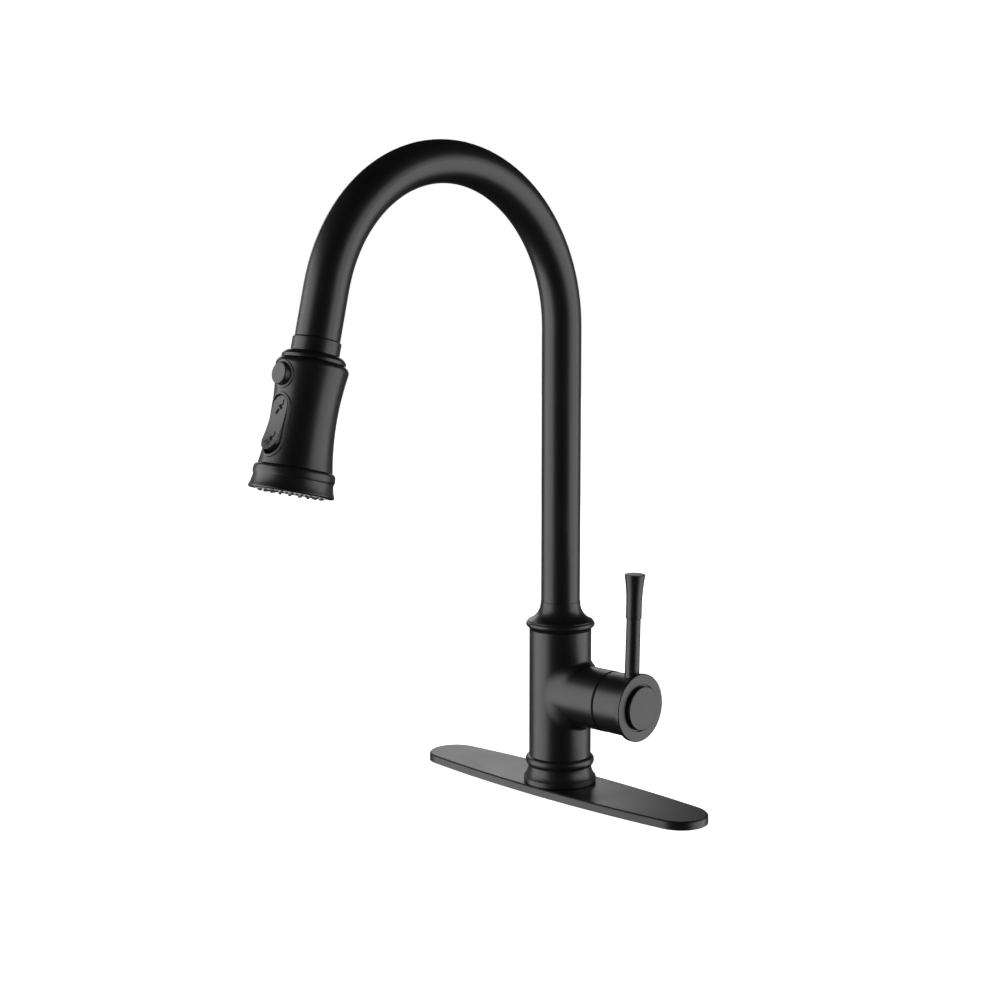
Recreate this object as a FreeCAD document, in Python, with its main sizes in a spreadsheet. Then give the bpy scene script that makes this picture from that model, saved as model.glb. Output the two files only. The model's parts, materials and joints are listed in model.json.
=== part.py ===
import FreeCAD, Part
import math
import os
import re
import Sketcher

# A high-arc, single-handle kitchen faucet with a pull-down spray head, on a long deck plate.
# Millimetres. +Z is up and z = 0 is the counter; the origin is the column's axis there.
# The spout reaches toward -Y, and the handle's boss points toward +X.

os.makedirs("parts", exist_ok=True)
doc = FreeCAD.newDocument("faucet")

# Driving dimensions. Each one is written once; what fits or seats on it uses its name.
SIZES = {
    # Deck plate and its pad
    "plate_length": 260, "plate_width": 53, "plate_side_radius": 980, "plate_height": 6,
    "plate_skin": 2, "plate_rim": 2.4, "plate_bevel": 0.9, "soft_gap": 0.3,
    # Shared clearances: fixed pieces on each other, turning or sliding pieces
    "seat_gap": 0.05, "running_gap": 0.07, "free_gap": 0.3,
    # Column
    "column_radius": 22.4, "column_rise": 45.3, "spigot_radius": 18.5, "base_ring_height": 19.6,
    "foot_radius": 26.2, "foot_height": 4, "waist_radius": 23, "waist_height": 12.4,
    "bead_radius": 24.9, "foot_round": 0.8, "waist_cove": 11, "bead_drop": 3.3, "bead_cove": 4.6,
    "bead_round": 3.4, "ring_lip": 0.2, "shank_radius": 16, "shank_depth": 22, "bore_radius": 7,
    "port_radius": 4, "port_depth": 10, "port_circle": 11.9, "port_angle": 75, "waterway_radius": 2.6,
    # Collar and swivel
    "collar_height": 20.5, "collar_cove": 13.2, "collar_lip": 0.4, "collar_side": 23.6,
    "collar_flare": 4, "collar_flare_height": 1.9, "collar_side_height": 6.2, "collar_bulge": 2.4,
    "collar_shoulder": 22.9, "collar_shoulder_height": 7.1, "collar_shoulder_round": 1,
    "neck_radius": 19, "neck_height": 5, "socket_radius": 16.5, "socket_depth": 23,
    "washer_thickness": 1.9, "flange_thickness": 3, "swivel_radius": 14.2, "ring_wire": 0.6,
    "groove_gap": 0.12, "ring_slack": 0.02,
    # Spout
    "tube_radius": 14, "tube_wall": 1.4, "tube_seat": 8, "plug_length": 16, "bend_height": 334,
    "bend_radius": 107.5, "bend_angle": 166.7, "outlet_length": 32.3, "hose_radius": 5.75,
    "hose_wall": 1.9, "hose_foot": 1,
    # Docking of the spray head in the spout's end
    "dock_radius": 10.3, "dock_length": 20, "dock_washer": 1.6, "magnet_gap": 0.6, "magnet_length": 6.8,
    "magnet_bore": 7.4,
    # Handle, its boss and the dome between them
    "handle_height": 72.7, "boss_radius": 21.6, "pivot_reach": 38.1, "dome_radius": 24, "dome_gap": 0.7,
    "dome_hole": 13, "dome_wall": 2.5, "hub_radius": 21.4, "hub_end": 72, "hub_groove": 0.5,
    "disc_radius": 23.8, "disc_thickness": 3.2, "disc_round": 0.7, "cap_radius": 15.4,
    "cap_height": 2.8, "cap_seat": 16.6, "cap_seat_depth": 2.5, "cap_round": 0.9, "lever_reach": 66.9,
    "lever_lean": 1.5, "lever_seat": 13, "lever_radius": 5.15, "lever_top_radius": 4.95,
    "lever_length": 61.8, "tip_radius": 5.5, "tip_top_radius": 7.2, "tip_length": 31.2,
    "tip_straight": 9, "tip_flare": 130, "tip_foot": 0.4, "tip_round": 0.6, "cap_foot": 1, "screw_relief": 1,
    # Cartridge
    "cartridge_seat": 12, "cartridge_radius": 17.4, "cartridge_length": 31.8, "cartridge_wall": 2,
    "gasket_thickness": 1.2, "cartridge_base": 3, "disc_stack": 4, "fixed_disc_radius": 15.3,
    "moving_disc_radius": 11, "carrier_width": 20, "carrier_thickness": 5.6, "rotor_gap": 0.3,
    "nut_thickness": 3.5, "nut_hole": 12.8, "stem_width": 7, "stem_slot": 8.2, "stem_arm": 10,
    "stem_end": 70, "ball_radius": 2.5, "ball_gap": 0.2, "ball_neck": 1.4, "stem_pin_radius": 2,
    "stem_pin_length": 29, "screw_radius": 2.5, "screw_head_radius": 4.5, "screw_head_height": 2.4,
    "screw_length": 8,
    # Spray head, measured from the joint with the tube along the head's own axis
    "head_neck_radius": 15, "head_neck_end": 9, "head_collar_radius": 19.7, "head_collar_end": 14,
    "joint_line": 0.15, "shoulder_radius": 22.2, "shoulder_level": 19.2, "shell_rim_radius": 19.4,
    "shell_end_radius": 22.9, "skirt_height": 15.4, "hourglass_radius": 185, "shell_wall": 2.2,
    "core_radius": 10.6, "core_top": 3, "thread_radius": 12.1, "thread_end": 20, "skirt_bead": 25,
    "skirt_bead_drop": 12.2, "skirt_waist": 24.5, "skirt_waist_drop": 8.8, "rim_radius": 26.3,
    "rim_drop": 1.3, "head_length": 95, "skirt_bore": 22.5, "neck_round": 1, "head_collar_lip": 1.2,
    "head_collar_edge": 1.9, "head_collar_arc": 6, "shoulder_arc": 4.4, "skirt_lip": 0.5,
    "skirt_bead_arc": 3.1, "skirt_cove": 4.4, "skirt_flare": 22, "rim_inset": 0.9, "rim_arc": 1.15,
    "form_rise": 3.5, "form_flare": 0.6,
    # Waterway inside the spray head
    "nut_radius": 9, "nut_end": 12, "nipple_radius": 4, "nipple_bore": 2.8, "nipple_end": 16,
    "nipple_flange": 6, "nipple_flange_start": 6.1, "nipple_flange_end": 8.6, "ferrule_wall": 0.9,
    "ferrule_length": 13, "ferrule_end": 1, "hose_end_gap": 4, "chamber_radius": 6.2, "chamber_end": 30,
    "seal_wire": 0.99, "strainer_thickness": 1.2, "strainer_hole": 0.7, "valve_length": 11,
    "spool_bore": 4.5, "spool_length": 22, "spool_groove": 3.6, "spool_neck": 2.2, "core_drop": 14,
    "core_flange": 19, "core_flange_thickness": 4, "spray_way": 1.05, "spray_way_depth": 14,
    "core_screw_radius": 1.05,
    # Spray face
    "distributor_thickness": 5, "distributor_way": 1.6, "face_thickness": 2.4, "mat_thickness": 2.2,
    "nozzle_radius": 1.05, "nozzle_tip": 0.8, "nozzle_reach": 1.3, "nozzle_gap": 0.3,
    "aerator_radius": 6.5, "aerator_bore": 4.5, "aerator_round": 0.3, "aerator_recess": 0.6,
    "aerator_screen": 1.4, "outer_ring": 19.3, "middle_ring": 14.9, "inner_ring": 10.6,
    # Pause button
    "button_level": 25.6, "button_radius": 6.8, "button_face": 24.7, "button_back": 17.5,
    "button_gap": 0.3, "button_round": 0.9, "button_bezel": 8.6, "bezel_proud": 0.6, "bezel_back": 15.6,
    "plunger_radius": 2, "plunger_tip": 9.2, "spring_radius": 3.4, "spring_wire": 0.35,
    "spring_pitch": 1.3,
    # Spray rocker
    "rocker_start": 13.6, "rocker_stop": 6.4, "rocker_width": 14, "rocker_pivot": 16.5,
    "rocker_face": 22.3, "rocker_dish": 85, "rocker_back": 14.6, "rocker_tilt": 9.5, "rocker_gap": 0.45,
    "rocker_bezel_wall": 1.6, "rocker_pin_radius": 1, "finger_width": 3, "finger_thickness": 2.4,
    "finger_tip": 2.9, "finger_slot": 9,
}
NOZZLE_COUNTS = {"outer_ring": 20, "middle_ring": 15, "inner_ring": 10}
SCREW_TURNS = (45, 135, 225, 315)

sheet = doc.addObject("Spreadsheet::Sheet", "dims")
for row, (alias, number) in enumerate(SIZES.items(), start=1):
    sheet.set("A%d" % row, alias.replace("_", " "))
    sheet.set("B%d" % row, str(number))
    sheet.setAlias("B%d" % row, alias)
doc.recompute()

# Sizes that follow from the driving ones
FOLLOWING = {
    "column_top": "handle_height + column_rise",
    "rocker_level": "button_level + rocker_start + rocker_length / 2",
    "rocker_length": "shell_end - rocker_stop - button_level - rocker_start",
    "shell_end": "head_length - skirt_height",
    "skirt_bead_level": "head_length - skirt_bead_drop",
    "skirt_waist_level": "head_length - skirt_waist_drop",
    "rim_level": "head_length - rim_drop",
    "core_end": "head_length - core_drop",
}


# Turn words in a formula into the sheet's cells
def cells(formula):
    for word, meaning in FOLLOWING.items():
        formula = re.sub(r"\b%s\b" % word, "(" + meaning + ")", formula)
    return re.sub(r"[a-z][a-z_]+", lambda word: "dims." + word.group()
                  if word.group() in SIZES else word.group(), formula)


# The number that a formula gives
def amount(formula):
    return float(sheet.evalExpression(cells(formula)))


# Places of the three local frames: the deck, the boss (its Z is the boss's axis) and
# the spray head (its Z runs down the head's axis from the joint, its Y faces outward)
DOCK_REACH = "bend_radius * (1 - cos(bend_angle)) + outlet_length * sin(bend_angle)"
DOCK_HEIGHT = "bend_height + bend_radius * sin(bend_angle) + outlet_length * cos(bend_angle)"
FRAMES = {
    "deck": FreeCAD.Placement(),
    "boss": FreeCAD.Placement(FreeCAD.Vector(0, 0, amount("handle_height")),
                              FreeCAD.Rotation(FreeCAD.Vector(0, 1, 0), 90)),
    "head": FreeCAD.Placement(FreeCAD.Vector(0, -amount(DOCK_REACH), amount(DOCK_HEIGHT)),
                              FreeCAD.Rotation(FreeCAD.Vector(1, 0, 0), amount("bend_angle"))),
}
pieces = {}


# Give a piece a place in numbers, free of the formulas that placed it before
def settle(piece, placement):
    for axis in "xyz":
        piece.setExpression("Placement.Base." + axis, None)
    piece.Placement = placement
    return piece


# Keep a finished piece under its node name, in the frame that it belongs to
def keep(piece, name, frame="deck"):
    own = piece.Placement
    if frame != "deck":
        settle(piece, FRAMES[frame].multiply(own))
    if frame == "boss" and own.isIdentity():
        piece.setExpression("Placement.Base.z", cells("handle_height"))
    if frame == "head" and own.isIdentity():
        piece.setExpression("Placement.Base.y", cells("-(" + DOCK_REACH + ")"))
        piece.setExpression("Placement.Base.z", cells(DOCK_HEIGHT))
    piece.Label = name
    pieces[name] = piece
    return piece


def set_sizes(feature, **formulas):
    for prop, formula in formulas.items():
        setattr(feature, prop, amount(formula))
        feature.setExpression(prop, cells(formula))
    return feature


# Attach a sketch to one of its own body's origin planes
def sketch_on(body, plane, name, lift=None):
    sketch = body.newObject("Sketcher::SketchObject", name)
    origin = [item for item in body.Origin.OriginFeatures if item.Role == plane]
    sketch.AttachmentSupport = [(origin[0], "")]
    sketch.MapMode = "FlatFace"
    if lift:
        sketch.setExpression(".AttachmentOffset.Base.z", cells(lift))
    return sketch


# Hold one sketch vertex at two formulas measured from the sketch's origin
def hold(sketch, edge, end, across, along):
    for kind, formula, axis in (("DistanceX", across, -2), ("DistanceY", along, -1)):
        if formula == "0":
            sketch.addConstraint(Sketcher.Constraint("PointOnObject", edge, end, axis))
        else:
            number = sketch.addConstraint(Sketcher.Constraint(kind, -1, 1, edge, end, amount(formula)))
            sketch.setExpression("Constraints[%d]" % number, cells(formula))


# A closed outline. Each corner is (across, along) or (across, along, radius): a radius bends
# the edge that leads to the corner, with its centre left of the way when it is positive.
def outline(sketch, corners):
    spots = [FreeCAD.Vector(amount(corner[0]), amount(corner[1]), 0) for corner in corners]
    count = len(corners)
    ends = []
    for index in range(count):
        start, end = spots[index], spots[(index + 1) % count]
        goal = corners[(index + 1) % count]
        if len(goal) == 2:
            sketch.addGeometry(Part.LineSegment(start, end), False)
            ends.append((1, 2))
            continue
        # Arcs are drawn counter-clockwise, so one with its centre on the right starts at its far end
        radius = amount(goal[2])
        chord = end - start
        left = FreeCAD.Vector(-chord.y, chord.x, 0).normalize()
        rise = abs(radius) - math.sqrt(radius * radius - chord.Length * chord.Length / 4)
        middle = (start + end) * 0.5 - left * math.copysign(rise, radius)
        if radius > 0:
            sketch.addGeometry(Part.Arc(start, middle, end), False)
            ends.append((1, 2))
        else:
            sketch.addGeometry(Part.Arc(end, middle, start), False)
            ends.append((2, 1))
    for index in range(count):
        following = (index + 1) % count
        sketch.addConstraint(Sketcher.Constraint("Coincident", index, ends[index][1],
                                                 following, ends[following][0]))
        hold(sketch, index, ends[index][0], corners[index][0], corners[index][1])
        goal = corners[following]
        if len(goal) == 3:
            number = sketch.addConstraint(Sketcher.Constraint("Radius", index, abs(amount(goal[2]))))
            sketch.setExpression("Constraints[%d]" % number, cells("abs(" + goal[2] + ")"))


# A piece of revolution about its own Z axis, from corners of (radius, height)
def turned(name, corners):
    body = doc.addObject("PartDesign::Body", name)
    sketch = sketch_on(body, "XZ_Plane", name + "_outline")
    outline(sketch, corners)
    feature = body.newObject("PartDesign::Revolution", name + "_turn")
    feature.Profile = sketch
    feature.ReferenceAxis = (sketch, ["V_Axis"])
    feature.Angle = 360
    return body


# A plain turned ring or, without an inner radius, a plain turned plug
def ring(name, inner, outer, bottom, top):
    return turned(name, [(inner, bottom), (outer, bottom), (outer, top), (inner, top)])


# Primitives for holes and slots; a place is a tuple of three formulas
def place(feature, where, turn=None):
    if turn:
        feature.Placement.Rotation = FreeCAD.Rotation(FreeCAD.Vector(*turn[0]), turn[1])
    feature.Placement.Base = FreeCAD.Vector(*[amount(formula) for formula in where])
    for axis, formula in zip("xyz", where):
        feature.setExpression("Placement.Base." + axis, cells(formula))
    return feature


def rod(name, radius, height, where=("0", "0", "0"), turn=None):
    feature = set_sizes(doc.addObject("Part::Cylinder", name), Radius=radius, Height=height)
    return place(feature, where, turn)


def block(name, length, width, height, where):
    feature = set_sizes(doc.addObject("Part::Box", name), Length=length, Width=width, Height=height)
    return place(feature, where)


def ball(name, radius, where):
    return place(set_sizes(doc.addObject("Part::Sphere", name), Radius=radius), where)


def joined(name, shapes):
    feature = doc.addObject("Part::MultiFuse", name)
    feature.Shapes = shapes
    return feature


def cut(name, base, tools):
    tool = tools[0] if len(tools) == 1 else joined(name + "_tools", tools)
    feature = doc.addObject("Part::Cut", name)
    feature.Base = base
    feature.Tool = tool
    return feature


def common(name, first, second):
    feature = doc.addObject("Part::Common", name)
    feature.Base = first
    feature.Tool = second
    return feature


# Deck plate outline: two long shallow arcs and two round ends that meet them tangent
CAP_RADIUS = ("(2 * (plate_side_radius - {0}) * (plate_width / 2 - {0}) - (plate_width / 2 - {0})^2"
              " - (plate_length / 2 - {0})^2) / (2 * (plate_side_radius - plate_length / 2))")


def plate_pad(name, inset, height):
    body = doc.addObject("PartDesign::Body", name)
    sketch = sketch_on(body, "XY_Plane", name + "_outline")
    cap = amount(CAP_RADIUS.format(inset))
    side = amount("plate_side_radius - " + inset)
    drop = amount("plate_side_radius - plate_width / 2")
    reach = amount("plate_length / 2 - " + inset) - cap
    lean = math.atan2(drop, reach)
    corner = FreeCAD.Vector(reach + cap * math.cos(lean), cap * math.sin(lean), 0)
    signs = ((1, 1), (-1, 1), (-1, -1), (1, -1))
    corners = [FreeCAD.Vector(corner.x * right, corner.y * up, 0) for right, up in signs]
    half = amount("plate_width / 2 - " + inset)
    tip = amount("plate_length / 2 - " + inset)
    middles = [FreeCAD.Vector(0, half, 0), FreeCAD.Vector(-tip, 0, 0),
               FreeCAD.Vector(0, -half, 0), FreeCAD.Vector(tip, 0, 0)]
    for index in range(4):
        sketch.addGeometry(Part.Arc(corners[index], middles[index], corners[(index + 1) % 4]), False)
    for index in range(4):
        following = (index + 1) % 4
        kind = "Tangent" if index % 2 == 0 else "Coincident"
        sketch.addConstraint(Sketcher.Constraint(kind, index, 2, following, 1))
    for index, way in ((0, "-"), (2, "")):
        radius = sketch.addConstraint(Sketcher.Constraint("Radius", index, side))
        sketch.setExpression("Constraints[%d]" % radius, cells("plate_side_radius - " + inset))
        sketch.addConstraint(Sketcher.Constraint("PointOnObject", index, 3, -2))
        centre = sketch.addConstraint(Sketcher.Constraint("DistanceY", -1, 1, index, 3,
                                                          -drop if way else drop))
        sketch.setExpression("Constraints[%d]" % centre,
                             cells(way + "(plate_side_radius - plate_width / 2)"))
    for index, way in ((1, "-"), (3, "")):
        centre = sketch.addConstraint(Sketcher.Constraint("DistanceX", -1, 1, index, 3,
                                                          -reach if way else reach))
        formula = "%s(plate_length / 2 - %s - %s)" % (way, inset, CAP_RADIUS.format(inset))
        sketch.setExpression("Constraints[%d]" % centre, cells(formula))
    pad = body.newObject("PartDesign::Pad", name + "_pad")
    pad.Profile = sketch
    set_sizes(pad, Length=height)
    return body


# Hollow deck plate with a bevelled upper edge and the column's hole
def make_deck_plate():
    shell = plate_pad("plate_shell", "0", "plate_height")
    pad = shell.Tip
    doc.recompute()
    upper = [number for number, edge in enumerate(pad.Shape.Edges, start=1)
             if min(vertex.Z for vertex in edge.Vertexes) > amount("plate_height") - 0.01]
    bevel = shell.newObject("PartDesign::Chamfer", "plate_bevelled")
    bevel.Base = (pad, ["Edge%d" % number for number in upper])
    set_sizes(bevel, Size="plate_bevel")
    hollow = plate_pad("plate_hollow", "plate_rim", "plate_height - plate_skin")
    hole = rod("plate_hole", "spigot_radius + free_gap", "plate_height * 2",
               ("0", "0", "-plate_height / 2"))
    keep(cut("deck_plate_body", shell, [hollow, hole]), "deck_plate")


# Soft pad that fills the plate's underside and seals it to the counter
def make_deck_gasket():
    pad = plate_pad("gasket_pad", "(plate_rim + soft_gap)", "plate_height - plate_skin")
    hole = rod("gasket_hole", "spigot_radius + free_gap", "plate_height", ("0", "0", "-plate_height / 8"))
    keep(cut("gasket_body", pad, [hole]), "deck_gasket")


# Column body: a turned tube with the cartridge boss, the ports and the waterways
def make_column():
    base_top = "plate_height + base_ring_height"
    neck_top = "column_top + neck_height"
    shaft = turned("column_shaft", [
        ("bore_radius", "shank_depth"),
        ("shank_radius", "shank_depth"),
        ("shank_radius", "0"),
        ("spigot_radius", "0"),
        ("spigot_radius", base_top),
        ("column_radius", base_top),
        ("column_radius", "column_top"),
        ("neck_radius", "column_top"),
        ("neck_radius", neck_top),
        ("socket_radius", neck_top),
        ("socket_radius", "column_top - socket_depth"),
        ("bore_radius", "column_top - socket_depth"),
    ])
    # The boss ends in a dome centred on the point that the handle tilts about
    boss = turned("boss_blank", [
        ("0", "bore_radius + 2"),
        ("boss_radius", "bore_radius + 2"),
        ("boss_radius", "pivot_reach + sqrt(dome_radius^2 - boss_radius^2)"),
        ("0", "pivot_reach + dome_radius", "dome_radius"),
    ])
    boss.Placement = FRAMES["boss"]
    boss.setExpression("Placement.Base.z", cells("handle_height"))
    solid = joined("column_solid", [shaft, boss])
    tall = "handle_height + stem_arm / 2"
    tools = [
        rod("hose_bore", "bore_radius", "column_top", ("0", "0", "shank_depth / 2")),
        rod("cartridge_cavity", "cartridge_radius + seat_gap", "dome_radius * 4",
            ("cartridge_seat", "0", "handle_height"), ((0, 1, 0), 90)),
    ]
    for name, angle in (("hot", "port_angle"), ("cold", "-port_angle"), ("mixed", "0")):
        across = "port_circle * cos(%s)" % angle
        along = "port_circle * sin(%s)" % angle
        tools.append(rod(name + "_port", "port_radius", "port_depth * 2",
                         (across, along, "shank_depth - port_depth")))
        top = "handle_height - cartridge_radius" if name == "mixed" else tall
        tools.append(rod(name + "_rise", "waterway_radius", top + " - shank_depth",
                         (across, along, "shank_depth")))
    for name, way in (("hot", ""), ("cold", "-")):
        tools.append(rod(name + "_feed", "waterway_radius",
                         "cartridge_seat + 1 - port_circle * cos(port_angle)",
                         ("port_circle * cos(port_angle)",
                          way + "(port_circle - waterway_radius / 2)", tall),
                         ((0, 1, 0), 90)))
    tools.append(block("mixed_feed", "waterway_radius", "waterway_radius * 2", "cartridge_radius",
                       ("cartridge_seat - waterway_radius * 0.6", "-waterway_radius",
                        "handle_height - cartridge_radius - waterway_radius")))
    keep(cut("column_cut", solid, tools), "column_body")


# Base ring round the column's foot: foot, waist and bead
def make_base_ring():
    low = "plate_height"
    bead = "plate_height + base_ring_height - bead_drop"
    keep(turned("base_ring_turned", [
        ("spigot_radius + seat_gap", low),
        ("foot_radius - foot_round", low),
        ("foot_radius", low + " + foot_round", "foot_round"),
        ("foot_radius", low + " + foot_height"),
        ("waist_radius", low + " + waist_height", "-waist_cove"),
        ("bead_radius", bead, "bead_cove"),
        ("column_radius + ring_lip", low + " + base_ring_height", "bead_round"),
        ("spigot_radius + seat_gap", low + " + base_ring_height"),
    ]), "base_ring")


# Bell-shaped collar over the top of the column
def make_collar():
    low = "column_top + joint_line"
    keep(turned("collar_turned", [
        ("neck_radius + seat_gap", low),
        ("column_radius - ring_lip", low),
        ("collar_side", low + " + collar_flare_height", "-collar_flare"),
        ("collar_side", "column_top + collar_side_height", "collar_bulge"),
        ("collar_shoulder", "column_top + collar_shoulder_height", "collar_shoulder_round"),
        ("tube_radius + collar_lip", "column_top + collar_height", "-collar_cove"),
        ("tube_radius + running_gap", "column_top + collar_height"),
        ("tube_radius + running_gap", "column_top + neck_height + seat_gap"),
        ("neck_radius + seat_gap", "column_top + neck_height + seat_gap"),
    ]), "top_collar")


# Swivel inside the column's top: wear washer, brass plug, bushing and two O-rings
def make_swivel():
    floor = "column_top - socket_depth"
    flange = floor + " + washer_thickness"
    flange_top = flange + " + flange_thickness"
    seat = "column_top + tube_seat"
    keep(ring("washer_turned", "bore_radius + 1", "socket_radius - free_gap", floor, flange), "wear_washer")
    plug = turned("plug_turned", [
        ("bore_radius", flange),
        ("socket_radius - free_gap", flange),
        ("socket_radius - free_gap", flange_top),
        ("swivel_radius - running_gap", flange_top),
        ("swivel_radius - running_gap", "column_top + neck_height"),
        ("tube_radius - free_gap", "column_top + neck_height"),
        ("tube_radius - free_gap", seat),
        ("tube_radius - tube_wall - seat_gap", seat),
        ("tube_radius - tube_wall - seat_gap", seat + " + plug_length"),
        ("bore_radius", seat + " + plug_length"),
    ])
    grooves = []
    rings = []
    for name, share in (("lower", "0.35"), ("upper", "0.75")):
        level = "%s + (socket_depth + neck_height) * %s" % (floor, share)
        grooves.append(rod_ring(name + "_groove", "swivel_radius - running_gap - ring_wire * 2",
                                "swivel_radius + 1", level + " - ring_wire - groove_gap",
                                "(ring_wire + groove_gap) * 2"))
        wire = set_sizes(doc.addObject("Part::Torus", name + "_ring"),
                         Radius1="swivel_radius - ring_wire - running_gap + ring_slack",
                         Radius2="ring_wire - ring_slack")
        rings.append(place(wire, ("0", "0", level)))
    keep(cut("plug_grooved", plug, grooves), "swivel_plug")
    keep(joined("ring_pair", rings), "swivel_o_rings")
    keep(ring("bushing_turned", "swivel_radius", "socket_radius - seat_gap",
              flange_top + " + running_gap", "column_top + neck_height"), "swivel_bushing")


# A ring-shaped cutter
def rod_ring(name, inner, outer, bottom, height):
    return cut(name, rod(name + "_outside", outer, height, ("0", "0", bottom)),
               [rod(name + "_inside", inner, height + " * 3", ("0", "0", bottom + " - " + height))])


# A pipe along the column's axis, round the bend and down the outlet
def bent_pipe(name, outer, inner, start, outlet=None):
    body = doc.addObject("PartDesign::Body", name)
    section = sketch_on(body, "XY_Plane", name + "_section", lift=start)
    for radius in (outer, inner):
        edge = section.addGeometry(Part.Circle(FreeCAD.Vector(), FreeCAD.Vector(0, 0, 1), amount(radius)))
        section.addConstraint(Sketcher.Constraint("Coincident", edge, 3, -1, 1))
        number = section.addConstraint(Sketcher.Constraint("Radius", edge, amount(radius)))
        section.setExpression("Constraints[%d]" % number, cells(radius))
    path = sketch_on(body, "YZ_Plane", name + "_path")
    spring = FreeCAD.Vector(0, amount("bend_height"), 0)
    bend, turn = amount("bend_radius"), math.radians(amount("bend_angle"))
    top = spring + FreeCAD.Vector(-bend * (1 - math.cos(turn / 2)), bend * math.sin(turn / 2), 0)
    last = spring + FreeCAD.Vector(-bend * (1 - math.cos(turn)), bend * math.sin(turn), 0)
    path.addGeometry(Part.LineSegment(FreeCAD.Vector(0, amount(start), 0), spring), False)
    path.addGeometry(Part.Arc(spring, top, last), False)
    hold(path, 0, 1, "0", start)
    hold(path, 0, 2, "0", "bend_height")
    path.addConstraint(Sketcher.Constraint("Coincident", 0, 2, 1, 1))
    hold(path, 1, 3, "-bend_radius", "bend_height")
    across = path.addConstraint(Sketcher.Constraint("DistanceX", -1, 1, 1, 2, last.x))
    path.setExpression("Constraints[%d]" % across, cells("-bend_radius * (1 - cos(bend_angle))"))
    if outlet:
        length = amount(outlet)
        tail = last + FreeCAD.Vector(-math.sin(turn), math.cos(turn), 0) * length
        path.addGeometry(Part.LineSegment(last, tail), False)
        path.addConstraint(Sketcher.Constraint("Coincident", 1, 2, 2, 1))
        hold(path, 2, 2, "-bend_radius * (1 - cos(bend_angle)) - (%s) * sin(bend_angle)" % outlet,
             "bend_height + bend_radius * sin(bend_angle) + (%s) * cos(bend_angle)" % outlet)
    pipe = body.newObject("PartDesign::AdditivePipe", name + "_pipe")
    pipe.Profile = section
    pipe.Spine = (path, [])
    return body


def make_spout():
    keep(bent_pipe("tube_bent", "tube_radius", "tube_radius - tube_wall", "column_top + tube_seat",
                   "outlet_length"), "spout_tube")
    keep(bent_pipe("hose_bent", "hose_radius", "hose_radius - hose_wall",
                   "shank_depth + hose_foot"), "hose_run")


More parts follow.
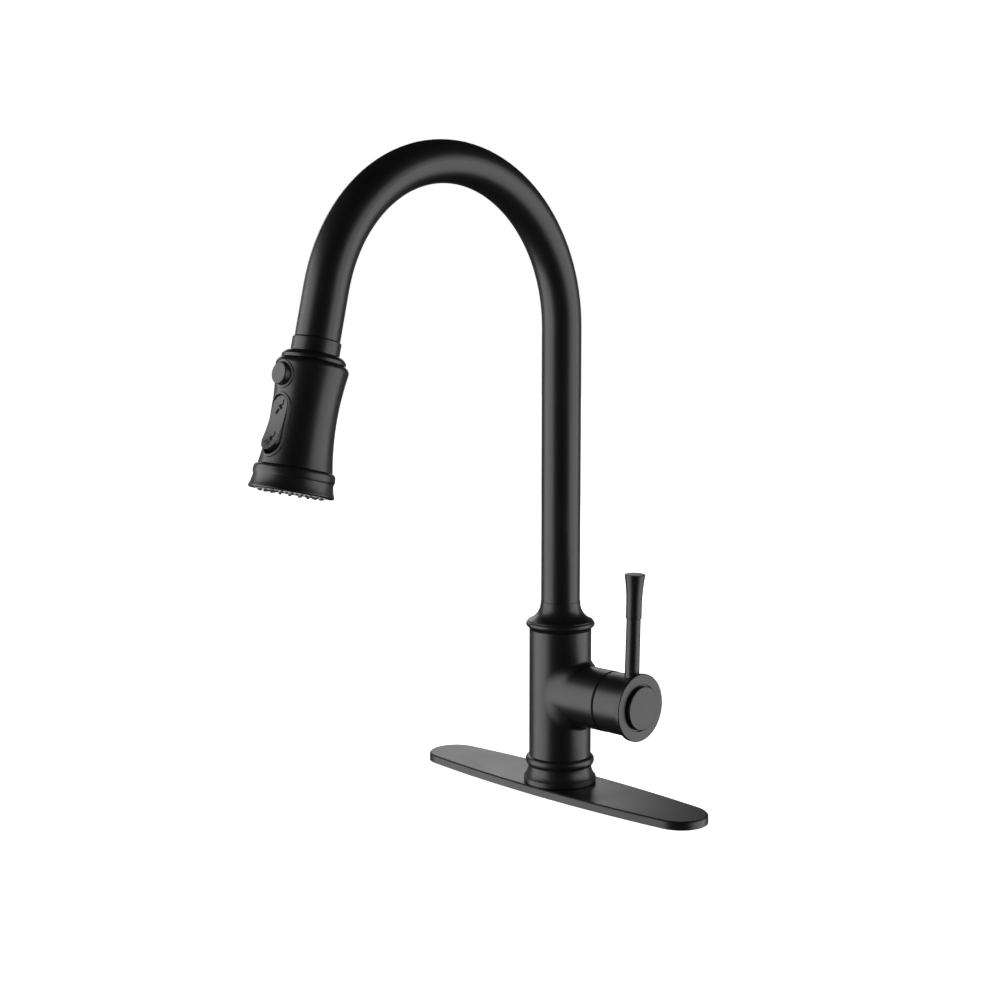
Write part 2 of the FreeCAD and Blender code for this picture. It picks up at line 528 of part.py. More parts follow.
# Ceramic cartridge in the boss: housing, seal, two discs, carrier, rotor, nut and dome
def make_cartridge():
    seat = "cartridge_seat"
    base = seat + " + gasket_thickness"
    floor = base + " + cartridge_base"
    middle = floor + " + disc_stack"
    carrier = middle + " + disc_stack"
    housing_end = base + " + cartridge_length"
    inside = "cartridge_radius - cartridge_wall"

    # Three ports run through the seal, the housing's floor and the fixed disc
    def ports(name, bottom, height):
        tools = []
        for way in ("", "-"):
            tools.append(rod(name + ("_left" if way else "_right"), "waterway_radius", height,
                             ("-stem_arm / 2", way + "(port_circle - waterway_radius / 2)", bottom)))
        tools.append(rod(name + "_low", "waterway_radius", height,
                         ("cartridge_radius - waterway_radius * 3", "0", bottom)))
        return tools

    seal = ring("seal_disc", "0", "cartridge_radius - waterway_radius / 2", seat, base)
    keep(cut("seal_cut", seal, ports("seal", seat + " - 1", "gasket_thickness * 3")),
         "cartridge_seal", "boss")
    housing = turned("housing_turned", [
        ("0", base),
        ("cartridge_radius", base),
        ("cartridge_radius", housing_end),
        (inside, housing_end),
        (inside, floor),
        ("0", floor),
    ])
    keep(cut("housing_cut", housing, ports("housing", base + " - 1", "cartridge_base * 2")),
         "cartridge_housing", "boss")
    fixed = ring("fixed_turned", "0", "fixed_disc_radius", floor, middle)
    keep(cut("fixed_cut", fixed, ports("fixed", floor + " - 1", "disc_stack * 2")),
         "fixed_ceramic_disc", "boss")

    # The moving disc has a mixing pocket on the side that lies on the fixed disc
    moving = ring("moving_turned", "0", "moving_disc_radius", middle, carrier)
    pocket = rod("mixing_pocket", "moving_disc_radius * 0.6", "disc_stack / 2 + 1",
                 ("0", "0", middle + " - 1"))
    keep(cut("moving_cut", moving, [pocket]), "moving_ceramic_disc", "boss")
    round_plate = ring("carrier_turned", "0", "moving_disc_radius",
                       carrier, carrier + " + carrier_thickness")
    flats = block("carrier_flats", "moving_disc_radius * 4", "carrier_width", "carrier_thickness * 3",
                  ("-moving_disc_radius * 2", "-carrier_width / 2", carrier + " - carrier_thickness"))
    plate = common("carrier_plate", round_plate, flats)
    socket = rod("ball_socket", "ball_radius + ball_gap", "carrier_thickness",
                 ("0", "0", "pivot_reach - stem_arm - ball_radius - ball_gap * 2"))
    keep(cut("carrier_cut", plate, [socket]), "disc_carrier", "boss")

    # The rotor turns in the housing; its two fingers turn the carrier, which slides between them
    rotor = ring("rotor_turned", "0", inside + " - running_gap", carrier + " + rotor_gap",
                 housing_end + " - rotor_gap")
    bay = block("carrier_bay", "cartridge_radius * 4", "carrier_width + running_gap * 2",
                "carrier_thickness + rotor_gap",
                ("-cartridge_radius * 2", "-(carrier_width / 2 + running_gap)", carrier))
    slot = block("stem_slot_cut", "dome_hole * 1.4", "stem_slot", "cartridge_length",
                 ("-dome_hole * 0.7", "-stem_slot / 2", carrier))
    hole = rod("rotor_pin_hole", "stem_pin_radius + seat_gap / 2", "cartridge_radius * 3",
               ("0", "cartridge_radius * 1.5", "pivot_reach"), ((1, 0, 0), 90))
    keep(cut("rotor_cut", rotor, [bay, slot, hole]), "cartridge_rotor", "boss")
    keep(rod("stem_pin_rod", "stem_pin_radius", "stem_pin_length",
             ("0", "stem_pin_length / 2", "pivot_reach"), ((1, 0, 0), 90)), "stem_pin", "boss")
    keep(ring("nut_ring", "nut_hole", "cartridge_radius", housing_end,
              housing_end + " + nut_thickness"), "cartridge_nut", "boss")

    # Dome cover: the outer sphere continues the boss's end
    low = housing_end + " + nut_thickness"
    inner = "(dome_radius - dome_wall)"
    rise = "pivot_reach + sqrt(%s^2 - %s^2)"
    keep(turned("dome_turned", [
        ("nut_hole", low),
        ("cartridge_radius", low),
        ("cartridge_radius", rise % ("dome_radius", "cartridge_radius")),
        ("dome_hole", rise % ("dome_radius", "dome_hole"), "dome_radius"),
        ("dome_hole", rise % (inner, "dome_hole")),
        ("cartridge_radius - dome_wall", rise % (inner, "(cartridge_radius - dome_wall)"),
         "-" + inner),
        ("cartridge_radius - dome_wall", low + " + dome_wall / 2"),
        ("nut_hole", low + " + dome_wall / 2"),
    ]), "dome_cover", "boss")


# Handle: stem, hub, lever and cap. In this frame the lever stands along -X.
def make_handle():
    sphere = "(dome_radius + dome_gap)"
    rim = "pivot_reach + sqrt(%s^2 - hub_radius^2)" % sphere
    face = "hub_end + hub_groove + disc_thickness"

    square = block("stem_square", "stem_width", "stem_width", "stem_end - pivot_reach + stem_arm / 2",
                   ("-stem_width / 2", "-stem_width / 2", "pivot_reach - stem_arm / 2"))
    throat = rod("stem_throat", "ball_neck", "stem_arm", ("0", "0", "pivot_reach - stem_arm"))
    knob = ball("stem_ball", "ball_radius", ("0", "0", "pivot_reach - stem_arm"))
    across = rod("stem_pin_hole", "stem_pin_radius + seat_gap", "stem_width * 2",
                 ("0", "stem_width", "pivot_reach"), ((1, 0, 0), 90))
    tapped = rod("stem_tapping", "screw_radius + seat_gap", "screw_length * 2",
                 ("0", "0", "stem_end - screw_length"))
    keep(cut("stem_cut", joined("stem_solid", [square, throat, knob]), [across, tapped]),
         "cartridge_stem", "boss")

    hub = turned("hub_turned", [
        ("0", "pivot_reach + " + sphere),
        ("hub_radius", rim, "-" + sphere),
        ("hub_radius", "hub_end"),
        ("hub_radius - hub_groove", "hub_end"),
        ("hub_radius - hub_groove", "hub_end + hub_groove"),
        ("disc_radius - disc_round", "hub_end + hub_groove"),
        ("disc_radius", "hub_end + hub_groove + disc_round", "disc_round"),
        ("disc_radius", face + " - disc_round"),
        ("disc_radius - disc_round", face, "disc_round"),
        ("cap_seat", face),
        ("cap_seat", face + " - cap_seat_depth"),
        ("0", face + " - cap_seat_depth"),
    ])
    socket = block("hub_socket", "stem_width + seat_gap * 2", "stem_width + seat_gap * 2",
                   "stem_end - dome_radius",
                   ("-(stem_width / 2 + seat_gap)", "-(stem_width / 2 + seat_gap)", "dome_radius"))
    clear = rod("hub_screw_hole", "screw_radius + seat_gap", "dome_radius", ("0", "0", "stem_end - 1"))
    well = rod("hub_screw_well", "screw_head_radius + seat_gap", "screw_head_height + 1",
               ("0", "0", face + " - cap_seat_depth - screw_head_height"))
    bore = lever_piece(rod("hub_lever_hole", "lever_radius + seat_gap", "hub_radius"), "lever_seat")
    keep(cut("hub_cut", hub, [socket, clear, well, bore]), "handle_hub", "boss")

    head_base = face + " - cap_seat_depth - screw_head_height"
    head = rod("screw_head", "screw_head_radius", "screw_head_height - seat_gap", ("0", "0", head_base))
    shank_foot = "stem_end - screw_length + screw_relief"
    shank = rod("screw_shank", "screw_radius", head_base + " + seat_gap - (" + shank_foot + ")",
                ("0", "0", shank_foot))
    keep(joined("screw_solid", [head, shank]), "stem_screw", "boss")

    seat = face + " - cap_seat_depth"
    keep(turned("cap_turned", [
        ("0", seat),
        ("cap_seat - seat_gap", seat),
        ("cap_seat - seat_gap", face + " - cap_foot"),
        ("cap_radius", face + " - cap_foot"),
        ("cap_radius", face + " + cap_height - cap_round"),
        ("cap_radius - cap_round", face + " + cap_height", "cap_round"),
        ("0", face + " + cap_height"),
    ]), "hub_cap", "boss")

    keep(lever_piece(turned("lever_turned", [
        ("0", "0"),
        ("lever_radius", "0"),
        ("lever_radius", "hub_radius - lever_seat"),
        ("lever_top_radius", "lever_length - lever_seat"),
        ("0", "lever_length - lever_seat"),
    ]), "lever_seat"), "lever_rod", "boss")
    keep(lever_piece(turned("tip_turned", [
        ("0", "0"),
        ("tip_radius - tip_foot", "0"),
        ("tip_radius", "tip_foot"),
        ("tip_radius", "tip_straight"),
        ("tip_top_radius", "tip_length - tip_round", "-tip_flare"),
        ("tip_top_radius - tip_round", "tip_length", "tip_round"),
        ("0", "tip_length"),
    ]), "lever_length"), "lever_tip", "boss")


# Stand a piece along the leaning lever, at a distance from the boss's axis
def lever_piece(piece, distance):
    lean = FreeCAD.Rotation(FreeCAD.Vector(0, 1, 0), amount("lever_lean") - 90)
    return settle(piece, FreeCAD.Placement(FreeCAD.Vector(
        -amount("(%s) * cos(lever_lean)" % distance), 0,
        amount("lever_reach + (%s) * sin(lever_lean)" % distance)), lean))


# What the spout's end holds for docking: a plastic bushing and a ring magnet
def make_dock():
    bottom = "-(dock_length + dock_washer + magnet_gap)"
    inside = "tube_radius - tube_wall - seat_gap"
    keep(ring("dock_bushing_ring", "dock_radius + free_gap", inside, bottom, "-free_gap"),
         "dock_bushing", "head")
    keep(ring("dock_magnet_ring", "magnet_bore", inside, bottom + " - magnet_length", bottom),
         "dock_magnet", "head")


# What ends the pull-out hose: its straight end, the crimped ferrule and the swivel nipple
def make_hose_end():
    shoulder = "-hose_end_gap"
    keep(ring("hose_end_ring", "hose_radius - hose_wall", "hose_radius", "-outlet_length", shoulder),
         "hose_end", "head")
    keep(ring("ferrule_ring", "hose_radius + seat_gap", "hose_radius + ferrule_wall",
              shoulder + " - ferrule_length", shoulder), "hose_ferrule", "head")
    keep(turned("nipple_turned", [
        ("nipple_bore", shoulder + " - ferrule_length * 0.7"),
        ("hose_radius - hose_wall - seat_gap", shoulder + " - ferrule_length * 0.7"),
        ("hose_radius - hose_wall - seat_gap", shoulder),
        ("hose_radius + ferrule_wall", shoulder),
        ("hose_radius + ferrule_wall", "ferrule_end"),
        ("nipple_radius", "ferrule_end"),
        ("nipple_radius", "nipple_flange_start"),
        ("nipple_flange", "nipple_flange_start"),
        ("nipple_flange", "nipple_flange_end"),
        ("nipple_radius", "nipple_flange_end"),
        ("nipple_radius", "nipple_end"),
        ("nipple_bore", "nipple_end"),
    ]), "hose_nipple", "head")


# Waterway down the middle of the spray head
def make_head_inside():
    bore = "nipple_flange + running_gap"
    keep(turned("hose_nut_turned", [
        ("nipple_radius + running_gap", "core_top"),
        ("nut_radius", "core_top"),
        ("nut_radius", "nut_end"),
        (bore, "nut_end"),
        (bore, "nipple_flange_start - running_gap"),
        ("nipple_radius + running_gap", "nipple_flange_start - running_gap"),
    ]), "hose_nut", "head")
    keep(ring("hose_washer_ring", "nipple_radius + running_gap", "nipple_flange",
              "nipple_flange_end + running_gap", "nut_end"), "hose_washer", "head")
    seal = set_sizes(doc.addObject("Part::Torus", "nipple_seal"),
                     Radius1="(chamber_radius + nipple_radius) / 2", Radius2="seal_wire")
    keep(place(seal, ("0", "0", "nut_end + (nipple_end - nut_end) / 2")), "nipple_o_ring", "head")

    strainer = ring("strainer_disc", "0", "chamber_radius - seat_gap",
                    "nipple_end + free_gap", "nipple_end + free_gap + strainer_thickness")
    meshes = [rod("strainer_hole_middle", "strainer_hole", "strainer_thickness * 3",
                  ("0", "0", "nipple_end"))]
    for turn in range(0, 360, 45):
        meshes.append(rod("strainer_hole_%d" % turn, "strainer_hole", "strainer_thickness * 3",
                          ("chamber_radius / 2 * cos(%d)" % turn, "chamber_radius / 2 * sin(%d)" % turn,
                           "nipple_end")))
    keep(cut("strainer_cut", strainer, meshes), "inlet_strainer", "head")
    valve = "nipple_end + free_gap + strainer_thickness"
    keep(ring("valve_ring", "nipple_bore", "chamber_radius - seat_gap", valve, valve + " + valve_length"),
         "check_valve", "head")

    core = turned("core_turned", [
        ("nut_radius + seat_gap", "core_top"),
        ("core_radius", "core_top"),
        ("core_radius", "core_end - core_flange_thickness"),
        ("core_flange", "core_end - core_flange_thickness"),
        ("core_flange", "core_end"),
        ("spool_bore", "core_end"),
        ("spool_bore", "chamber_end"),
        ("chamber_radius", "chamber_end"),
        ("chamber_radius", "nut_end"),
        ("nut_radius + seat_gap", "nut_end"),
    ])
    tools = [
        block("finger_window", "finger_width + free_gap * 2", "core_radius", "finger_slot",
              ("-(finger_width / 2 + free_gap)", "0", "rocker_level - finger_slot / 2 + free_gap * 2")),
        rod("plunger_hole", "plunger_radius + running_gap", "core_radius",
            ("0", "chamber_radius - 1", "button_level"), ((1, 0, 0), -90)),
    ]
    for turn in (0, 90, 180, 270):
        place_x = "(spool_bore + core_radius) / 2 * cos(%d)" % turn
        place_y = "(spool_bore + core_radius) / 2 * sin(%d)" % turn
        tools.append(rod("spray_way_%d" % turn, "spray_way", "core_flange",
                         (place_x, place_y, "core_end - spray_way_depth")))
    for turn in SCREW_TURNS:
        tools.append(rod("screw_way_%d" % turn, "core_screw_radius + seat_gap", "core_flange",
                         screw_spot(turn) + ("core_end - core_flange_thickness - 1",)))
    keep(cut("core_cut", core, tools), "head_core", "head")

    middle = "rocker_level + (rocker_pivot - finger_tip) * sin(rocker_tilt)"
    outer = "spool_bore - running_gap"
    keep(turned("spool_turned", [
        ("0", middle + " - spool_length / 2"),
        (outer, middle + " - spool_length / 2"),
        (outer, middle + " - spool_groove / 2"),
        ("spool_neck", middle + " - spool_groove / 2"),
        ("spool_neck", middle + " + spool_groove / 2"),
        (outer, middle + " + spool_groove / 2"),
        (outer, middle + " + spool_length / 2"),
        ("0", middle + " + spool_length / 2"),
    ]), "diverter_spool", "head")

    plate = ring("distributor_disc", "spool_bore", "core_flange + free_gap", "core_end",
                 "core_end + distributor_thickness")
    tools = [rod("distributor_way_%d" % turn, "distributor_way", "distributor_thickness * 2",
                 ("inner_ring * cos(%d)" % turn, "inner_ring * sin(%d)" % turn, "core_end - 1"))
             for turn in range(0, 360, 90)]
    tools += [rod("distributor_screw_%d" % turn, "core_screw_radius + seat_gap", "distributor_thickness * 2",
                  screw_spot(turn) + ("core_end - 1",)) for turn in SCREW_TURNS]
    keep(cut("distributor_cut", plate, tools), "spray_distributor", "head")
    screws = []
    for turn in SCREW_TURNS:
        head = "core_end - core_flange_thickness - core_screw_radius"
        screws.append(joined("core_screw_%d" % turn, [
            rod("core_screw_head_%d" % turn, "core_screw_radius * 2", "core_screw_radius",
                screw_spot(turn) + (head,)),
            rod("core_screw_shank_%d" % turn, "core_screw_radius",
                "core_flange_thickness + distributor_thickness", screw_spot(turn) + (head,)),
        ]))
    group = doc.addObject("Part::Compound", "core_screw_group")
    group.Links = screws
    keep(group, "core_screws", "head")


# Where a flange screw stands
def screw_spot(turn):
    return tuple("(core_radius + core_flange) / 2 * %s(%d)" % (way, turn) for way in ("cos", "sin"))


# Outer pieces of the spray head
def make_head_shell():
    keep(turned("neck_turned", [
        ("nut_radius + seat_gap * 2", "-dock_length"),
        ("dock_radius", "-dock_length"),
        ("dock_radius", "joint_line"),
        ("head_neck_radius - neck_round", "joint_line"),
        ("head_neck_radius", "joint_line + neck_round", "neck_round"),
        ("head_neck_radius", "head_neck_end"),
        ("thread_radius", "head_neck_end"),
        ("thread_radius", "thread_end"),
        ("core_radius + seat_gap", "thread_end"),
        ("core_radius + seat_gap", "core_top - seat_gap"),
        ("nut_radius + seat_gap * 2", "core_top - seat_gap"),
    ]), "head_neck", "head")
    keep(ring("dock_washer_ring", "magnet_bore", "dock_radius - seat_gap",
              "-(dock_length + dock_washer)", "-dock_length"), "dock_washer", "head")
    keep(turned("head_collar_turned", [
        ("thread_radius + seat_gap", "head_neck_end + joint_line"),
        ("head_neck_radius + head_collar_lip", "head_neck_end + joint_line"),
        ("head_collar_radius", "head_collar_end - head_collar_edge", "head_collar_arc"),
        ("head_collar_radius", "head_collar_end"),
        ("thread_radius + seat_gap", "head_collar_end"),
    ]), "head_collar", "head")

    start = "head_collar_end + joint_line"
    shell = turned("shell_turned", [
        ("thread_radius + seat_gap", start),
        ("shell_rim_radius", start),
        ("shoulder_radius", "shoulder_level", "shoulder_arc"),
        ("shell_end_radius", "shell_end", "-hourglass_radius"),
        ("shell_end_radius - shell_wall", "shell_end"),
        ("shoulder_radius - shell_wall", "shoulder_level", "(hourglass_radius + shell_wall)"),
        ("shell_rim_radius - shell_wall", start + " + shell_wall"),
        ("thread_radius + seat_gap", start + " + shell_wall"),
    ])
    window = pill("shell_window", "rocker_width + (rocker_gap + rocker_bezel_wall + seat_gap) * 2",
                  OPENING + " + rocker_bezel_wall + seat_gap")
    hole = rod("shell_button_hole", "button_bezel + seat_gap", "rim_radius",
               ("0", "dock_radius", "button_level"), ((1, 0, 0), -90))
    keep(cut("shell_cut", shell, [window, hole]), "head_shell", "head")

    skirt = "shell_end + joint_line"
    keep(turned("skirt_turned", [
        ("core_flange + free_gap * 3", skirt),
        ("shell_end_radius + skirt_lip", skirt),
        ("skirt_bead", "skirt_bead_level", "skirt_bead_arc"),
        ("skirt_waist", "skirt_waist_level", "skirt_cove"),
        ("rim_radius", "rim_level", "-skirt_flare"),
        ("rim_radius - rim_inset", "head_length", "rim_arc"),
        ("skirt_bore", "head_length"),
        ("skirt_bore", skirt + " + shell_wall"),
        ("core_flange + free_gap * 3", skirt + " + shell_wall"),
    ]), "skirt_ring", "head")


# Face plate, soft nozzle mat behind it and the aerator in the middle
def make_face():
    face = "head_length - face_thickness"
    plate = ring("face_disc", "aerator_radius + seat_gap", "skirt_bore - seat_gap", face, "head_length")
    mat = ring("mat_disc", "aerator_radius + seat_gap", "skirt_bore - free_gap",
               face + " - mat_thickness", face)
    holes = []
    cones = [mat]
    for circle, count in NOZZLE_COUNTS.items():
        for step in range(count):
            spot = ("%s * cos(%.1f)" % (circle, 360 * step / count),
                    "%s * sin(%.1f)" % (circle, 360 * step / count))
            name = "%s_%d" % (circle, step)
            holes.append(rod(name + "_hole", "nozzle_radius + nozzle_gap", "face_thickness * 3",
                             spot + (face + " - face_thickness",)))
            cone = set_sizes(doc.addObject("Part::Cone", name + "_cone"),
                             Radius1="nozzle_radius", Radius2="nozzle_tip",
                             Height="face_thickness + nozzle_reach + mat_thickness / 2")
            cones.append(place(cone, spot + (face + " - mat_thickness / 2",)))
    keep(cut("face_cut", plate, holes), "spray_face", "head")
    keep(joined("mat_solid", cones), "nozzle_mat", "head")
    keep(turned("aerator_turned", [
        ("aerator_bore", "core_end + distributor_thickness"),
        ("aerator_radius", "core_end + distributor_thickness"),
        ("aerator_radius", "head_length + bezel_proud - aerator_round"),
        ("aerator_radius - aerator_round", "head_length + bezel_proud"),
        ("aerator_bore", "head_length + bezel_proud"),
        ("aerator_bore", "head_length - aerator_recess"),
        ("0", "head_length - aerator_recess"),
        ("0", "head_length - aerator_recess - aerator_screen"),
        ("aerator_bore", "head_length - aerator_recess - aerator_screen"),
    ]), "aerator", "head")


# Half the length of the rocker's opening: its ends swing on this circle round the pin
OPENING = "sqrt(rocker_length^2 / 4 + (rocker_face - rocker_pivot)^2) + rocker_gap"


# A round-ended prism that points outward through the spray head's side at the rocker
def pill(name, width, half_length, bottom="bezel_back", height="rim_radius"):
    half = "(%s) / 2" % width
    reach = "(%s - %s)" % (half_length, half)
    turn = ((1, 0, 0), -90)
    ends = [rod(name + "_upper", half, height, ("0", bottom, "rocker_level - " + reach), turn),
            rod(name + "_lower", half, height, ("0", bottom, "rocker_level + " + reach), turn)]
    middle = block(name + "_middle", width, height, reach + " * 2",
                   ("-" + half, bottom, "rocker_level - " + reach))
    return joined(name, ends + [middle])


# The hourglass form of the shell, grown outward, that shapes the bezels' front faces
def proud_form(name):
    return turned(name, [
        ("0", "shoulder_level - form_rise"),
        ("shoulder_radius + form_flare + bezel_proud", "shoulder_level - form_rise"),
        ("shell_end_radius + bezel_proud", "shell_end", "-(hourglass_radius - bezel_proud)"),
        ("0", "shell_end"),
    ])


def make_controls():
    outward = ((1, 0, 0), -90)
    blank = rod("button_bezel_blank", "button_bezel", "rim_radius",
                ("0", "bezel_back", "button_level"), outward)
    hole = rod("button_bezel_hole", "button_radius + button_gap", "rim_radius * 2",
               ("0", "0", "button_level"), outward)
    front = common("button_bezel_front", blank, proud_form("button_form"))
    keep(cut("button_bezel_cut", front, [hole]), "button_bezel", "head")

    width = "rocker_width + rocker_gap * 2"
    blank = pill("rocker_bezel_blank", width + " + rocker_bezel_wall * 2", OPENING + " + rocker_bezel_wall")
    hole = pill("rocker_bezel_hole", width, OPENING, "0", "rim_radius * 2")
    holes = rod("rocker_bezel_pin_hole", "rocker_pin_radius + seat_gap", "rim_radius * 2",
                ("-rim_radius", "rocker_pivot", "rocker_level"), ((0, 1, 0), 90))
    front = common("rocker_bezel_front", blank, proud_form("rocker_form"))
    keep(cut("rocker_bezel_cut", front, [hole, holes]), "rocker_bezel", "head")

    # The button's outline is turned about an axis that points outward
    button = turned("button_turned", [
        ("0", "button_back"),
        ("button_radius", "button_back"),
        ("button_radius", "button_face - button_round"),
        ("button_radius - button_round", "button_face", "button_round"),
        ("0", "button_face"),
    ])
    keep(point_outward(button, "button_level"), "pause_button", "head")
    keep(point_outward(ring("plunger_turned", "0", "plunger_radius", "plunger_tip", "button_back"),
                       "button_level"), "pause_plunger", "head")
    make_button_spring()

    # Rocker: a dished pill whose ends are rounded about its pin, with a finger for the spool
    prism = pill("rocker_prism", "rocker_width", "rocker_length / 2", "rocker_back", "rim_radius")
    swing = rod("rocker_swing", OPENING + " - rocker_gap", "rocker_width * 2",
                ("-rocker_width", "rocker_pivot", "rocker_level"), ((0, 1, 0), 90))
    dish = rod("rocker_dish_cut", "rocker_dish", "rocker_width * 2",
               ("-rocker_width", "rocker_face + sqrt(rocker_dish^2 - rocker_length^2 / 4)", "rocker_level"),
               ((0, 1, 0), 90))
    plate = cut("rocker_plate", common("rocker_rounded", prism, swing), [dish])
    finger = block("rocker_finger", "finger_width", "rocker_pivot - finger_tip", "finger_thickness",
                   ("-finger_width / 2", "finger_tip", "rocker_level - finger_thickness / 2"))
    bore = rod("rocker_pin_bore", "rocker_pin_radius + running_gap", "rocker_width * 2",
               ("-rocker_width", "rocker_pivot", "rocker_level"), ((0, 1, 0), 90))
    rocker = cut("rocker_cut", joined("rocker_solid", [plate, finger]), [bore])
    pivot = FreeCAD.Vector(0, amount("rocker_pivot"), amount("rocker_level"))
    tilt = FreeCAD.Rotation(FreeCAD.Vector(1, 0, 0), -amount("rocker_tilt"))
    rocker.Placement = FreeCAD.Placement(FreeCAD.Vector(), tilt, pivot)
    keep(rocker, "rocker", "head")
    keep(rod("rocker_pin_rod", "rocker_pin_radius", "rocker_width + rocker_bezel_wall * 2",
             ("-(rocker_width / 2 + rocker_bezel_wall)", "rocker_pivot", "rocker_level"), ((0, 1, 0), 90)),
         "rocker_pin", "head")


# Turn a piece's own axis to the outward side of the spray head, at a distance from the joint
def point_outward(piece, level):
    return settle(piece, FreeCAD.Placement(FreeCAD.Vector(0, 0, amount(level)),
                                           FreeCAD.Rotation(FreeCAD.Vector(1, 0, 0), -90)))


# Coil spring round the plunger, between the core and the button
def make_button_spring():
    start = "core_radius + spring_wire * 1.5"
    helix = set_sizes(doc.addObject("Part::Helix", "spring_helix"), Pitch="spring_pitch",
                      Radius="spring_radius", Height="button_back - core_radius - spring_wire * 3")
    section = set_sizes(doc.addObject("Part::Circle", "spring_section"), Radius="spring_wire")
    section.Placement.Rotation = FreeCAD.Rotation(FreeCAD.Vector(1, 0, 0), 90)
    section.setExpression("Placement.Base.x", cells("spring_radius"))
    coil = doc.addObject("Part::Sweep", "spring_coil")
    coil.Sections = [section]
    coil.Spine = (helix, ["Edge1"])
    coil.Solid = True
    coil.Frenet = True
    coil.Placement = FreeCAD.Placement(FreeCAD.Vector(0, amount(start), amount("button_level")),
                                       FreeCAD.Rotation(FreeCAD.Vector(1, 0, 0), -90))
    keep(coil, "button_spring", "head")


make_deck_plate()
make_deck_gasket()
make_column()
make_base_ring()
make_collar()
make_swivel()
make_spout()
make_cartridge()
make_handle()
make_dock()
make_hose_end()
make_head_inside()
make_head_shell()
make_face()
make_controls()
doc.recompute()

for item in doc.Objects:
    if "Invalid" in item.State or "Error" in item.State:
        raise RuntimeError(item.Name + " failed: " + str(item.State))
for name, piece in pieces.items():
    if piece.Shape.isNull() or not piece.Shape.isValid():
        raise RuntimeError(name + " has no valid shape")
for name, piece in pieces.items():
    piece.Shape.exportStep("parts/" + name + ".step")
    box = piece.Shape.optimalBoundingBox(False)
    print("%-22s %2d solid(s) %10.1f mm3  x %.1f..%.1f  y %.1f..%.1f  z %.1f..%.1f" % (
        name, len(piece.Shape.Solids), piece.Shape.Volume,
        box.XMin, box.XMax, box.YMin, box.YMax, box.ZMin, box.ZMax))
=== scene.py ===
import json
import math
import bmesh
import bpy
from mathutils import Matrix, Vector


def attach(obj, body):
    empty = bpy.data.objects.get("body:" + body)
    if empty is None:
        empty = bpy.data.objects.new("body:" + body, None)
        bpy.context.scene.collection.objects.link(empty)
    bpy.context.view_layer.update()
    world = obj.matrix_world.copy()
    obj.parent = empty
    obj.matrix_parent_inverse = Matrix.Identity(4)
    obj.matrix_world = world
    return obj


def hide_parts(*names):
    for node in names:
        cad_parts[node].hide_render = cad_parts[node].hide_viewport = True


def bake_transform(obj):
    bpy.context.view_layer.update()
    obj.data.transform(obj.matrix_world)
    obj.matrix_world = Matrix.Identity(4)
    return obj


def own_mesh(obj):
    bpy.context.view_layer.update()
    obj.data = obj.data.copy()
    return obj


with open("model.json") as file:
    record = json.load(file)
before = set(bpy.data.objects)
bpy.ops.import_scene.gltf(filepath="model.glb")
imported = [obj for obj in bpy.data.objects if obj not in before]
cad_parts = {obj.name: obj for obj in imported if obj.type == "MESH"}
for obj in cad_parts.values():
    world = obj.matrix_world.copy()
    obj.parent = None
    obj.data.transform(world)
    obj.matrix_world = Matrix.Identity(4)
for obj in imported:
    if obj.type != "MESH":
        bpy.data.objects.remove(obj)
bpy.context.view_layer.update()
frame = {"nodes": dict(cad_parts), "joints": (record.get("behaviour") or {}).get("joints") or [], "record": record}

nodes = frame["nodes"]
record = frame["record"]
print("frame loaded:", len(nodes), "nodes")

# Camera, stage and light

cameraView = {"place": (0.7540, -0.8222, 0.33766), "tilt": 83.54, "turn": 44.76, "lens": 56.49,
              "film": 36}

lens = bpy.data.cameras.new("studioCamera")
lens.lens = cameraView["lens"]
lens.sensor_width = cameraView["film"]
camera = bpy.data.objects.new("studioCamera", lens)
camera.location = cameraView["place"]
camera.rotation_euler = (math.radians(cameraView["tilt"]), 0, math.radians(cameraView["turn"]))
bpy.context.scene.collection.objects.link(camera)
bpy.context.scene.camera = camera
bpy.context.scene.view_settings.view_transform = "Standard"


# Small helpers for node trees
def addNode(tree, kind, **values):
    node = tree.nodes.new(kind)
    for key, value in values.items():
        if hasattr(node, key):
            setattr(node, key, value)
        else:
            node.inputs[key.replace("_", " ")].default_value = value
    return node


def mathNode(tree, operation, first, second=None, third=None):
    node = addNode(tree, "ShaderNodeMath", operation=operation)
    for socket, value in zip(node.inputs, (first, second, third)):
        if value is None:
            continue
        if isinstance(value, (int, float)):
            socket.default_value = value
        else:
            tree.links.new(value, socket)
    return node.outputs[0]


def blankTree(owner):
    owner.use_nodes = True
    owner.node_tree.nodes.clear()
    return owner.node_tree


studio = {
    "roomGlow": 0.02,       # dim room all round
    "backdropGlow": 0.16,   # white backdrop behind the faucet, in reflections
    "backdropEdge": (0.1, 0.95),    # cosine to the backdrop's middle where it starts and where it is full
    "backdropBand": (0.42, 0.1),    # rise above and below the horizon where it ends and where it is full
    "diffuseGlow": 0.4,     # sky fill on rough surfaces
    "floorSize": 9.0,
    "floorDrop": 0.0003,    # keeps the floor clear of the plate's underside
    "floorColour": (0.9, 0.9, 0.9, 1),
    "floorWhite": 0.86,
}

